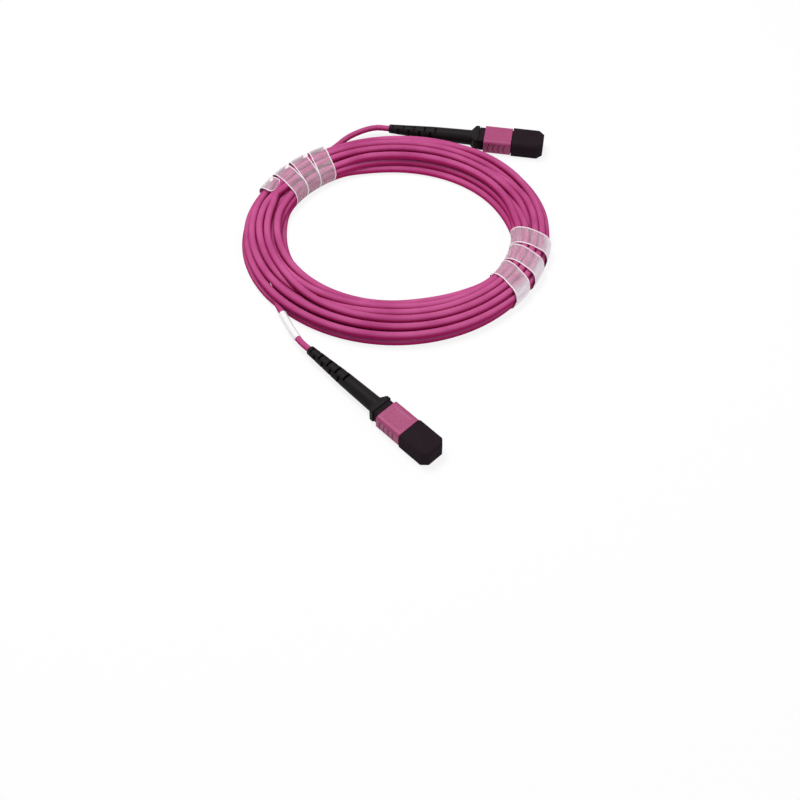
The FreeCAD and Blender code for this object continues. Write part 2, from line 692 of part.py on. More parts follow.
def make_outer_housing(tag, place):
    """Sliding coupling sleeve with grip grooves outside, and spring channels and stop lugs inside."""
    body = new_body(f"outer_housing_{tag}", place)
    solid = block(body, SLEEVE_WIDTH, SLEEVE_HEIGHT, Dim.of(0), size("sleeve_length"))
    dress_edges(body, "Fillet", solid, runs_along("X"), size("sleeve_round"))
    cut_through(body, SLEEVE_BORE_WIDTH, SLEEVE_BORE_HEIGHT)
    channel = new_sketch(body, "YZ_Plane")
    for low, high in ((GROOVE_FLOOR, CHANNEL_FLOOR), (-CHANNEL_FLOOR, -GROOVE_FLOOR)):
        rectangle(channel, low, high, -GROOVE_HEIGHT / 2, GROOVE_HEIGHT / 2)
    extrude(body, "Pocket", channel, size("lug_start"), reverse=True)
    lug = new_sketch(body, "YZ_Plane", size("lug_start"))
    lug_tip = GROOVE_FLOOR + size("lug_clearance")
    lug_half = GROOVE_HEIGHT / 2 - size("lug_clearance")
    lug_root = SLEEVE_BORE_WIDTH / 2 + size("sleeve_wall_side") / 2
    for low, high in ((lug_tip, lug_root), (-lug_root, -lug_tip)):
        rectangle(lug, low, high, -lug_half, lug_half)
    extrude(body, "Pad", lug, size("lug_length"))
    grip = cut_sides(body, size("grip_start"), size("grip_start") + size("grip_width"),
                     SLEEVE_WIDTH / 2 - size("grip_depth"), SLEEVE_WIDTH)
    repeat_along_x(body, grip, size("grip_pitch"), size("grip_count"))


def make_plug_frame(tag, place):
    """Inner housing with the key, the latch notches and the coupling springs' grooves."""
    body = new_body(f"plug_frame_{tag}", place)
    solid = block(body, size("frame_width"), size("frame_height"), -size("frame_tail"),
                  size("frame_tail") + NOSE_END)
    dress_edges(body, "Fillet", solid, runs_along("X"), size("frame_round"))
    cut_forward(body, size("cavity_width"), size("cavity_height"), -size("frame_tail"),
                size("frame_tail") + SHOULDER)
    cut_through(body, size("ferrule_width") + 2 * size("ferrule_clearance"),
                size("ferrule_height") + 2 * size("ferrule_clearance"))
    cut_sides(body, size("coupling_seat"), GROOVE_FRONT, GROOVE_FLOOR, size("frame_width"), GROOVE_HEIGHT)
    notch_end = NOSE_END - size("notch_lip")
    notch_floor = size("frame_width") / 2 - size("notch_depth")
    cut_sides(body, notch_end - size("notch_length"), notch_end, notch_floor, size("frame_width"),
              size("notch_height"))
    bore_top = size("ferrule_height") / 2 + size("ferrule_clearance")
    key_root = (bore_top + size("frame_height") / 2) / 2
    key = new_sketch(body, "XY_Plane", key_root)
    rectangle(key, CAP_START, CAP_START + size("key_length"), -size("key_width") / 2, size("key_width") / 2)
    extrude(body, "Pad", key, size("frame_height") / 2 + size("key_height") - key_root)


def make_ferrule(tag, place):
    """Rectangular ferrule with a rear flange, a rear window and two guide pins."""
    body = new_body(f"ferrule_{tag}", place)
    block(body, size("ferrule_width"), size("ferrule_height"), FERRULE_BACK, size("ferrule_length"))
    block(body, size("flange_width"), size("flange_height"), FERRULE_BACK, size("flange_length"))
    cut_forward(body, size("window_width"), size("window_height"), FERRULE_BACK, size("window_depth"))
    pins = new_sketch(body, "YZ_Plane", FLANGE_FRONT)
    for side in (1, -1):
        circle(pins, size("guide_diameter") / 2, side * size("guide_pitch") / 2)
    extrude(body, "Pad", pins, FERRULE_FACE + size("guide_length") - FLANGE_FRONT)


def make_ferrule_train(tag, place):
    """What rides behind the ferrule: spacer plate, rubber boot, ribbon and spring."""
    clamp = new_body(f"pin_clamp_{tag}", place)
    block(clamp, size("clamp_width"), size("clamp_height"), CLAMP_BACK, size("clamp_length"))
    cut_through(clamp, size("window_width"), size("window_height"))
    boot = new_body(f"ferrule_boot_{tag}", place)
    boot_back = CLAMP_BACK + size("seat_gap")
    block(boot, size("window_width") - 2 * size("boot_fit"), size("window_height") - 2 * size("boot_fit"),
          boot_back, FERRULE_BACK + size("window_depth") - size("seat_gap") - boot_back)
    cut_through(boot, size("ribbon_width") + 2 * size("ribbon_clearance"),
                size("ribbon_height") + 2 * size("ribbon_clearance"))
    ribbon = new_body(f"fibre_ribbon_{tag}", place)
    ribbon_back = NECK_FRONT + size("ferrule_float") + 4 * size("seat_gap")
    ribbon_front = FERRULE_BACK + size("window_depth") - size("seat_gap")
    block(ribbon, size("ribbon_width"), size("ribbon_height"), ribbon_back, ribbon_front - ribbon_back)
    wound_spring(f"ferrule_spring_{tag}", place, size("spring_outer"), size("spring_wire"),
                 size("spring_coils"), SPRING_BACK, SPRING_FRONT, 0)


def make_back_post(tag, place):
    """Back post with its flange and crimp barrel, the yarn folded over it and the stepped crimp ring."""
    post = new_body(f"spring_push_{tag}", place)
    fit = 2 * size("push_clearance")
    block(post, size("cavity_width") - fit, size("cavity_height") - fit, PUSH_BACK,
          size("push_front") - PUSH_BACK)
    margin = 2 * size("push_margin")
    block(post, size("frame_width") - margin, size("frame_height") - margin, PUSH_BACK, size("push_flange"))
    barrel = new_sketch(post, "YZ_Plane", BARREL_END)
    circle(barrel, size("barrel_diameter") / 2)
    extrude(post, "Pad", barrel, PUSH_BACK - BARREL_END)
    bore = new_sketch(post, "YZ_Plane")
    circle(bore, size("barrel_bore") / 2)
    extrude(post, "Pocket", bore)
    yarn = new_body(f"aramid_yarn_{tag}", place)
    turned(yarn, "Revolution", ((BARREL_END, YARN_INSIDE), (CRIMP_FRONT, YARN_INSIDE),
                                (CRIMP_FRONT, YARN_OUTSIDE), (BARREL_END, YARN_OUTSIDE)))
    ring = new_body(f"crimp_ring_{tag}", place)
    turned(ring, "Revolution", ((NECK_END, NECK_INSIDE), (NECK_FRONT, NECK_INSIDE),
                                (BARREL_END, CRIMP_INSIDE), (CRIMP_FRONT, CRIMP_INSIDE),
                                (CRIMP_FRONT, CRIMP_OUTSIDE), (BARREL_END, CRIMP_OUTSIDE),
                                (NECK_FRONT, NECK_OUTSIDE), (NECK_END, NECK_OUTSIDE)))


def make_strain_boot(tag, place):
    """Tapered boot with slots that alternate sideways and upright, and a hollow square skirt."""
    body = new_body(f"strain_boot_{tag}", place)
    turned(body, "Revolution", ((BOOT_TAIL, 0), (SKIRT_BACK, 0),
                                (SKIRT_BACK, size("boot_root_diameter") / 2),
                                (BOOT_ROOT, size("boot_root_diameter") / 2),
                                (BOOT_MID, size("boot_mid_diameter") / 2),
                                (BOOT_TAIL, size("boot_tail_diameter") / 2)))
    shoulder = new_sketch(body, "YZ_Plane", SKIRT_BACK)
    centred_rectangle(shoulder, size("skirt_width"), size("skirt_height"))
    slope = extrude(body, "Pad", shoulder, size("skirt_slope"), reverse=True)
    bind(slope, "TaperAngle", -size("skirt_angle"))
    block(body, size("skirt_width"), size("skirt_height"), SKIRT_BACK, size("skirt_rim"))
    hollow = 2 * size("skirt_wall")
    cut_forward(body, size("skirt_width") - hollow, size("skirt_height") - hollow,
                PUSH_BACK - size("seat_gap"), SKIRT_FRONT - PUSH_BACK + size("skirt_rim"))
    gap = size("boot_clearance")
    bore = size("lead_diameter") / 2 + gap
    turned(body, "Groove", ((BOOT_TAIL - gap, 0), (SKIRT_FRONT, 0), (SKIRT_FRONT, CRIMP_OUTSIDE + gap),
                            (BARREL_END - gap, CRIMP_OUTSIDE + gap), (NECK_FRONT - gap, NECK_OUTSIDE + gap),
                            (NECK_END - gap, NECK_OUTSIDE + gap), (NECK_END - gap, bore),
                            (BOOT_TAIL - gap, bore)))
    first = BOOT_TAIL + size("slot_start")
    web = size("slot_bridge") / 2
    reach = size("boot_root_diameter")
    rows = (("XZ_Plane", first, size("slots_upright")),
            ("XY_Plane", first + size("slot_pitch"), size("slots_sideways")))
    for plane, start, count in rows:
        sketch = new_sketch(body, plane)
        rectangle(sketch, start, start + size("slot_width"), web, reach)
        rectangle(sketch, start, start + size("slot_width"), -reach, -web)
        slot = extrude(body, "Pocket", sketch)
        repeat_along_x(body, slot, 2 * size("slot_pitch"), count)


def make_plug(tag, place):
    """Every piece of one plug."""
    make_dust_cap(tag, place)
    make_outer_housing(tag, place)
    make_plug_frame(tag, place)
    for side, sign in (("left", 1), ("right", -1)):
        wound_spring(f"coupling_spring_{side}_{tag}", place, size("coupling_outer"), size("coupling_wire"),
                     size("coupling_coils"), COUPLING_BACK, COUPLING_FRONT, sign * COUPLING_AXIS)
    make_ferrule(tag, place)
    make_ferrule_train(tag, place)
    make_back_post(tag, place)
    make_strain_boot(tag, place)


def plug_places():
    """Where each plug lies: its place on the floor, its axis height and its turn."""
    front_x = COIL_LEFT + size("plug_a_x")
    front_y = COIL_FRONT - size("plug_a_y")
    back_x = size("coil_x") + size("plug_b_x")
    back_y = COIL_BACK - size("plug_b_y")
    return {"a": (front_x, front_y, AXIS_HEIGHT, size("plug_a_turn")),
            "b": (back_x, back_y, AXIS_HEIGHT, size("plug_b_turn"))}


def check_all():
    """Stops on any failed object or bad shape."""
    doc.recompute()
    for item in doc.Objects:
        if "Invalid" in item.State or "Error" in item.State:
            raise RuntimeError(f"{item.Label} failed: {item.State}")
    for node in NODES:
        if node.Shape.isNull() or not node.Shape.isValid():
            raise RuntimeError(f"{node.Label} has no valid shape")


def main():
    """Builds every piece, checks it and writes its STEP file."""
    places = plug_places()
    coil_shape = make_coil()
    edges = make_lead("cable_lead_a", places["a"], LEAD_A_ROUTE, COIL_LEFT, COIL_FRONT, coil_shape)
    make_lead("cable_lead_b", places["b"], LEAD_B_ROUTE, size("coil_x"), COIL_BACK, coil_shape)
    make_marker(edges, coil_shape)
    make_film("film_wrap_right", "film_right_angle")
    make_film("film_wrap_left", "film_left_angle")
    for tag, place in places.items():
        make_plug(tag, place)
    check_all()
    os.makedirs("parts", exist_ok=True)
    for node in NODES:
        node.Shape.exportStep(f"parts/{node.Label}.step")
        box = node.Shape.BoundBox
        print(f"{node.Label}: {len(node.Shape.Solids)} solid, {node.Shape.Volume:.2f} mm3, "
              f"{box.XMin:.2f}..{box.XMax:.2f} {box.YMin:.2f}..{box.YMax:.2f} "
              f"{box.ZMin:.2f}..{box.ZMax:.2f}")


main()
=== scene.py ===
"""Looks of a coiled multi-fibre patch cable with two push-on plugs.

Metres, +Z up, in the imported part's own frame. The jacket, the film strips, the marker sleeve, the outer
housings, the strain boots, the springs and the guide pins are modelled here. The other pieces keep their
solids and get finishes, and those that show get rounded edges.
"""

import json
import logging
import math
from dataclasses import dataclass, replace
from enum import Enum
from typing import Any, Sequence

import bmesh
import bpy
import numpy as np
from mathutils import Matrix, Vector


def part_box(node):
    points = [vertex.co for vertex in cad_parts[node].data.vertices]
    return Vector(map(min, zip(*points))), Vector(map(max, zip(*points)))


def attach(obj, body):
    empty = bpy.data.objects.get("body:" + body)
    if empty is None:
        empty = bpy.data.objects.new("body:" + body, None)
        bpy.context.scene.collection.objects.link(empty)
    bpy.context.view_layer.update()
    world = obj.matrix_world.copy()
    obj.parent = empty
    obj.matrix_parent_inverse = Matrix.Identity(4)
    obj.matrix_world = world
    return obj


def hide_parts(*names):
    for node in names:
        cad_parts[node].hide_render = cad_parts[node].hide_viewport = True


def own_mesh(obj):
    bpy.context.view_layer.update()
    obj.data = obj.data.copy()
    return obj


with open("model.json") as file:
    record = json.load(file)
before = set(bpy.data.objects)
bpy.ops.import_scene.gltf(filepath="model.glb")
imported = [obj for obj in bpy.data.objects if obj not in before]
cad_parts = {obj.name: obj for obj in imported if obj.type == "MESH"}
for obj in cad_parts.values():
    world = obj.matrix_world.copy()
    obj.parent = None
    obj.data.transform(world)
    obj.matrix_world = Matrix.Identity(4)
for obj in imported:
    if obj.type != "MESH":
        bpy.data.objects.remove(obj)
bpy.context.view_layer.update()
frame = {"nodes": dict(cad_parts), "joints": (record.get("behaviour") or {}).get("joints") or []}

LOG = logging.getLogger("patch_cable")
MM = 0.001
UP = np.array((0.0, 0.0, 1.0))
FULL_TURN = 2.0 * math.pi
# Least value that a reach is divided by
LEAST = 1e-9
# A colour, a place or three scales
Triple = tuple[float, float, float]


class Tag(Enum):
    """The two ends of the cable."""

    FRONT = "a"
    BACK = "b"


def tint(red: int, green: int, blue: int) -> Triple:
    """Linear light of a screen colour, whose parts go from 0 to 255."""
    shares = [part / 255.0 for part in (red, green, blue)]
    return tuple(s / 12.92 if s <= 0.04045 else ((s + 0.055) / 1.055) ** 2.4 for s in shares)


def ease(share: np.ndarray) -> np.ndarray:
    """Smooth step of a share that is held between 0 and 1."""
    held = np.clip(share, 0.0, 1.0)
    return held * held * (3.0 - 2.0 * held)


def round_angles(count: int) -> np.ndarray:
    """Angles spread evenly over a full turn."""
    return np.linspace(0.0, FULL_TURN, count, endpoint=False)


def run_along(line: np.ndarray) -> np.ndarray:
    """The distance run at each point of a line."""
    return np.concatenate([[0.0], np.cumsum(np.linalg.norm(np.diff(line, axis=0), axis=1))])


def read_rows(places: np.ndarray, known: np.ndarray, rows: np.ndarray) -> np.ndarray:
    """Rows read off at places between the known ones."""
    return np.stack([np.interp(places, known, column) for column in rows.T], axis=1)


def joint_row(name: str) -> dict[str, Any]:
    """The frame's row for a joint."""
    return next(item for item in frame["joints"] if item["name"] == name)


def linked(name: str, data: bpy.types.ID) -> bpy.types.Object:
    """Links a new object to the scene.

    Args:
        name: The object's name.
        data: Its mesh, camera or lamp.

    Returns:
        The object.
    """
    made = bpy.data.objects.new(name, data)
    bpy.context.scene.collection.objects.link(made)
    return made


class Value:
    """A socket that works in Python expressions; each operation adds a Math node."""

    def __init__(self, graph: "Graph", socket: bpy.types.NodeSocket) -> None:
        """Keeps the graph and the socket."""
        self.graph = graph
        self.socket = socket

    def _math(self, operation: str, first: Any, second: Any) -> "Value":
        """The result of one Math node, whose operands are values or numbers."""
        return self.graph.add("ShaderNodeMath", {"operation": operation}, {0: first, 1: second}, "Value")

    def __add__(self, other: Any) -> "Value":
        """Sum."""
        return self._math("ADD", self, other)

    def __radd__(self, other: Any) -> "Value":
        """Sum, reflected."""
        return self._math("ADD", other, self)

    def __sub__(self, other: Any) -> "Value":
        """Difference."""
        return self._math("SUBTRACT", self, other)

    def __rsub__(self, other: Any) -> "Value":
        """Difference, reflected."""
        return self._math("SUBTRACT", other, self)

    def __mul__(self, other: Any) -> "Value":
        """Product."""
        return self._math("MULTIPLY", self, other)

    def __rmul__(self, other: Any) -> "Value":
        """Product, reflected."""
        return self._math("MULTIPLY", other, self)

    def over(self, limit: float) -> "Value":
        """The larger of this value and a limit."""
        return self._math("MAXIMUM", self, limit)

    def under(self, limit: float) -> "Value":
        """The smaller of this value and a limit."""
        return self._math("MINIMUM", self, limit)

    def size(self) -> "Value":
        """The value without its sign."""
        return self._math("ABSOLUTE", self, 0.0)

    def step(self, low: float, high: float) -> "Value":
        """A soft step from 0 at low to 1 at high."""
        inputs = {"Value": self, "From Min": low, "From Max": high}
        return self.graph.add("ShaderNodeMapRange", {"interpolation_type": "SMOOTHSTEP"}, inputs, "Result")


class Graph:
    """A node tree that is filled by one method."""

    def __init__(self, tree: bpy.types.NodeTree) -> None:
        """Empties the tree."""
        self.tree = tree
        tree.nodes.clear()

    def add(self, kind: str, settings: dict | None, inputs: dict | None, output: str | int) -> Value:
        """Adds a node, with its settings set before its sockets.

        Args:
            kind: The node's type.
            settings: Attributes of the node.
            inputs: Values or links by socket name or number.
            output: Name or number of the output that is handed back.

        Returns:
            The chosen output, or the input of that name where a node has no outputs.
        """
        node = self.tree.nodes.new(kind)
        for key, setting in (settings or {}).items():
            setattr(node, key, setting)
        for key, given in (inputs or {}).items():
            socket = node.inputs[key]
            if isinstance(given, Value):
                self.tree.links.new(given.socket, socket)
            else:
                socket.default_value = given
        sockets = node.outputs if len(node.outputs) else node.inputs
        return Value(self, sockets[output])

    def place(self) -> Value:
        """Place in the part's own frame."""
        return self.add("ShaderNodeTexCoord", None, None, "Object")

    def strip(self) -> tuple[Value, Value]:
        """The two strip coordinates: along the piece and across or round it."""
        uv = self.add("ShaderNodeUVMap", {"uv_map": "strip"}, None, "UV")
        return self.part(uv, "X"), self.part(uv, "Y")

    def part(self, vector: Value, axis: str) -> Value:
        """One part of a vector."""
        return self.add("ShaderNodeSeparateXYZ", None, {0: vector}, axis)

    def pair(self, first: Value, second: Value) -> Value:
        """A vector of two parts."""
        return self.add("ShaderNodeCombineXYZ", None, {"X": first, "Y": second}, "Vector")

    def stretch(self, vector: Value, scale: Sequence[float]) -> Value:
        """A vector with each part scaled."""
        settings = {"operation": "MULTIPLY"}
        return self.add("ShaderNodeVectorMath", settings, {0: vector, 1: tuple(scale)}, "Vector")

    def noise(self, vector: Value, scale: float, detail: float = 3.0) -> Value:
        """Noise between 0 and 1."""
        inputs = {"Vector": vector, "Scale": scale, "Detail": detail}
        return self.add("ShaderNodeTexNoise", None, inputs, 0)

    def mix(self, share: Value, first: Sequence[float] | Value, second: Sequence[float] | Value) -> Value:
        """A mix of two colours.

        Args:
            share: Share of the second colour.
            first: Colour at 0.
            second: Colour at 1.

        Returns:
            The mixed colour.
        """
        colours = [item if isinstance(item, Value) else (*item, 1.0) for item in (first, second)]
        inputs = {0: share, 6: colours[0], 7: colours[1]}
        return self.add("ShaderNodeMix", {"data_type": "RGBA"}, inputs, 2)

    def bump(self, height: Value, depth: float, strength: float) -> Value:
        """A normal from a height between 0 and 1, its depth in metres and the share that shows."""
        inputs = {"Height": height, "Distance": depth, "Strength": strength}
        return self.add("ShaderNodeBump", None, inputs, "Normal")

    def shade(self, inputs: dict) -> None:
        """The closing shader and output."""
        shader = self.add("ShaderNodeBsdfPrincipled", None, inputs, "BSDF")
        self.add("ShaderNodeOutputMaterial", None, {"Surface": shader}, "Surface")


@dataclass(frozen=True)
class Finish:
    """A finish: its name, the slot of the record, its colour and its roughness."""

    name: str
    slot: str
    colour: Triple
    roughness: float

    def fill(self, graph: Graph) -> None:
        """Fills the material's nodes; each kind of finish has its own."""
        raise NotImplementedError

    def material(self) -> bpy.types.Material:
        """The finish's material, made once.

        Returns:
            The material with its nodes.
        """
        known = bpy.data.materials.get(self.name)
        if known is not None:
            return known
        made = bpy.data.materials.new(self.name)
        made.use_nodes = True
        self.fill(Graph(made.node_tree))
        made.diffuse_color = (*self.colour, 1.0)
        return made

    def dress(self, piece: bpy.types.Object) -> None:
        """Puts the finish on a modelled piece.

        Args:
            piece: The modelled piece.
        """
        piece.data.materials.clear()
        piece.data.materials.append(self.material())


@dataclass(frozen=True)
class JacketFinish(Finish):
    """Extruded satin jacket with faint draw lines along it, fine grain and a painted shade, a deeper
    colour, on its flanks and underside.
    """

    deep: Triple
    # Colour of the painted shade on the flanks and underside of each turn
    painted_shade: Triple
    painted_shade_cover: float = 0.94
    painted_shade_step: tuple[float, float] = (0.08, 0.23)
    line_scale: tuple[float, float] = (4.0, 46.0)
    drift_scale: float = 55.0
    grain_scale: float = 2600.0
    relief: float = 0.035 * MM

    def fill(self, graph: Graph) -> None:
        """Draw lines, slow colour drift, fine grain, and a painted shade on the flanks and underside, where
        the next turns shade them.

        Args:
            graph: The material's nodes.
        """
        along, round_share = graph.strip()
        from_top = 0.5 - ((round_share - 0.25).size() - 0.5).size()
        # Painted shade: the flanks and underside of each turn take a darker, more saturated colour
        painted_shade_share = self.painted_shade_cover * from_top.step(*self.painted_shade_step)
        line = graph.pair(along * self.line_scale[0], round_share * self.line_scale[1])
        draw = graph.noise(line, 1.0, 2.0)
        drift = graph.noise(graph.place(), self.drift_scale, 2.0)
        grain = graph.noise(graph.place(), self.grain_scale)
        share = (0.55 * drift + 0.3 * draw + 0.15 * grain).step(0.34, 0.66)
        colour = graph.mix(painted_shade_share, graph.mix(share, self.deep, self.colour), self.painted_shade)
        rough = self.roughness + 0.14 * (draw - 0.5) + 0.1 * (drift - 0.5)
        normal = graph.bump(0.6 * draw + 0.4 * grain, self.relief, 0.7)
        graph.shade({"Base Color": colour, "Roughness": rough, "Normal": normal, "Specular IOR Level": 0.0})


@dataclass(frozen=True)
class MouldedFinish(Finish):
    """Moulded plastic or rubber: fine spark-eroded grain, faint clouding and rubbed spots."""

    rubbed: Triple
    grain: float = 4200.0
    depth: float = 0.02 * MM
    gloss: float = 0.42
    cloud_scale: float = 190.0
    spot_scale: float = 900.0

    def fill(self, graph: Graph) -> None:
        """Grain, clouds and rubbed spots.

        Args:
            graph: The material's nodes.
        """
        place = graph.place()
        fine = graph.noise(place, self.grain, 4.0)
        cloud = graph.noise(place, self.cloud_scale)
        spots = graph.noise(place, self.spot_scale, 2.0).step(0.6, 0.78)
        share = (0.45 * cloud + 0.25 * fine + 0.3 * spots).step(0.2, 0.8)
        colour = graph.mix(share, self.colour, self.rubbed)
        rough = self.roughness + 0.16 * (cloud - 0.5) - 0.08 * spots
        graph.shade({"Base Color": colour, "Roughness": rough, "Normal": graph.bump(fine, self.depth, 0.6),
                     "Specular IOR Level": self.gloss})


@dataclass(frozen=True)
class MetalFinish(Finish):
    """Drawn or turned metal with fine lines."""

    dull: Triple
    line_scale: Triple = (900.0, 900.0, 9000.0)
    cloud_scale: float = 700.0
    relief: float = 0.004 * MM

    def fill(self, graph: Graph) -> None:
        """Clouded colour, and stretched lines in roughness and relief.

        Args:
            graph: The material's nodes.
        """
        lines = graph.noise(graph.stretch(graph.place(), self.line_scale), 1.0)
        cloud = graph.noise(graph.place(), self.cloud_scale, 2.0)
        colour = graph.mix(cloud.step(0.3, 0.7), self.colour, self.dull)
        rough = self.roughness + 0.22 * (lines - 0.5)
        graph.shade({"Base Color": colour, "Roughness": rough, "Metallic": 1.0,
                     "Normal": graph.bump(lines, self.relief, 0.5)})


@dataclass(frozen=True)
class FilmFinish(Finish):
    """Thin clear film with milky folds and a painted highlight on its cut edges; it is milkier lower down,
    most on the coil's outer side.
    """

    # Colour of the painted highlight along the cut edges
    edge: Triple
    shade: Triple
    cover: float
    edge_highlight_cover: float
    coil_centre: Triple = (-0.27 * MM, 26.63 * MM, 0.0)
    coil_halves: tuple[float, float] = (62.0 * MM, 54.0 * MM)
    outward_step: tuple[float, float] = (0.97, 1.07)
    highlight_rim_step: tuple[float, float] = (0.86, 0.92)
    height_step: tuple[float, float] = (7.4 * MM, 10.7 * MM)
    fold_scale: tuple[float, float] = (900.0, 1.3)
    haze_scale: float = 240.0
    inner_milk: float = 0.08
    outer_milk: float = 0.87
    relief: float = 0.12 * MM

    def outward(self, graph: Graph) -> Value:
        """1 on the coil's outer side and 0 on its inner side.

        Args:
            graph: The material's nodes.

        Returns:
            The share.
        """
        away = graph.add("ShaderNodeVectorMath", {"operation": "SUBTRACT"},
                         {0: graph.place(), 1: self.coil_centre}, "Vector")
        scaled = graph.stretch(away, (1.0 / self.coil_halves[0], 1.0 / self.coil_halves[1], 0.0))
        size = graph.add("ShaderNodeVectorMath", {"operation": "LENGTH"}, {0: scaled}, "Value")
        return size.step(*self.outward_step)

    def fill(self, graph: Graph) -> None:
        """Haze, folds across the strip and a painted highlight along the edges.

        Args:
            graph: The material's nodes.
        """
        along, across = graph.strip()
        # Painted highlight: a band along both cut edges, whiter and more opaque
        highlight_rim = ((across - 0.5).size() * 2.0).step(*self.highlight_rim_step)
        folds = graph.noise(graph.pair(along * self.fold_scale[0], across * self.fold_scale[1]), 1.0)
        haze = graph.noise(graph.place(), self.haze_scale, 2.0)
        # Milkier lower down, and most on the coil's outer side
        falling = 1.0 - graph.part(graph.place(), "Z").step(*self.height_step)
        slope = falling * (self.inner_milk + self.outer_milk * self.outward(graph))
        colour = graph.mix(highlight_rim, graph.mix(folds.step(0.3, 0.7), self.shade, self.colour), self.edge)
        milk = self.cover + 0.16 * (folds - 0.5) + 0.1 * (haze - 0.5) + slope
        alpha = (milk + highlight_rim * (self.edge_highlight_cover - self.cover)).over(0.0).under(1.0)
        graph.shade({"Base Color": colour, "Roughness": self.roughness + 0.2 * (haze - 0.5), "Alpha": alpha,
                     "Normal": graph.bump(folds, self.relief, 0.5), "Specular IOR Level": 0.35})


@dataclass(frozen=True)
class YarnFinish(Finish):
    """Fine folded yarn: strands side by side."""

    dark: Triple
    strand_scale: Triple = (1400.0, 1400.0, 11000.0)
    relief: float = 0.06 * MM

    def fill(self, graph: Graph) -> None:
        """Strands in colour and relief."""
        strands = graph.noise(graph.stretch(graph.place(), self.strand_scale), 1.0)
        graph.shade({"Base Color": graph.mix(strands.step(0.35, 0.65), self.dark, self.colour),
                     "Roughness": self.roughness, "Normal": graph.bump(strands, self.relief, 0.8)})


# flank is the painted shade on the flanks and underside of the turns
JACKET = JacketFinish("jacket_satin", "jacket_violet", tint(197, 92, 146), roughness=0.58,
                      deep=tint(172, 68, 122), painted_shade=tint(164, 26, 92))
HOUSING = MouldedFinish("housing_satin", "housing_violet", tint(155, 57, 105), roughness=0.46,
                        rubbed=tint(168, 75, 120), gloss=0.34)
BLACK = MouldedFinish("black_satin", "black_plastic", tint(38, 29, 35), roughness=0.56,
                      rubbed=tint(45, 36, 41), gloss=0.008)
RUBBER = MouldedFinish("black_elastomer", "black_rubber", tint(23, 19, 21), roughness=0.55,
                       rubbed=tint(34, 30, 32), grain=2600.0, depth=0.03 * MM, gloss=0.08)
WHITE = MouldedFinish("sleeve_satin", "white_sleeve", tint(236, 234, 236), roughness=0.38,
                      rubbed=tint(246, 245, 246))
RESIN = MouldedFinish("resin_satin", "ferrule_resin", tint(54, 54, 57), roughness=0.35,
                      rubbed=tint(70, 70, 72), grain=6000.0, depth=0.008 * MM)
RIBBON = MouldedFinish("ribbon_gloss", "fibre_ribbon", tint(92, 190, 196), roughness=0.25,
                       rubbed=tint(122, 205, 208))
STEEL = MetalFinish("drawn_steel", "spring_steel", tint(196, 196, 199), roughness=0.3,
                    dull=tint(170, 170, 174))
CRIMP = MetalFinish("turned_metal", "crimp_metal", tint(202, 198, 190), roughness=0.34,
                    dull=tint(180, 175, 166))
YARN = YarnFinish("folded_yarn", "aramid_yellow", tint(236, 205, 92), roughness=0.7,
                  dark=tint(196, 158, 48))
# edge is the colour of the painted highlight along the cut edges
FILM = FilmFinish("folded_film", "clear_film", tint(254, 242, 250), roughness=0.3,
                  edge=tint(255, 248, 253), shade=tint(238, 222, 234), cover=0.16, edge_highlight_cover=0.85)
THIN_FILM = replace(FILM, name="folded_film_thin", cover=0.12)

# Finish of each kind of piece that keeps its solid
CARRIED: dict[str, Finish] = {
    "dust_cap": BLACK, "plug_frame": BLACK, "ferrule": RESIN, "pin_clamp": BLACK, "ferrule_boot": RUBBER,
    "fibre_ribbon": RIBBON, "spring_push": BLACK, "aramid_yarn": YARN, "crimp_ring": CRIMP,
}

# Rounding of the edges of the solids that show
ROUNDED: dict[str, float] = {"dust_cap": 0.16 * MM, "plug_frame": 0.1 * MM, "ferrule": 0.05 * MM,
                             "crimp_ring": 0.06 * MM}


def corners(node: str) -> np.ndarray:
    """Corners of a CAD node's mesh as rows of x, y, z."""
    return np.array([corner.co for corner in frame["nodes"][node].data.vertices], float)


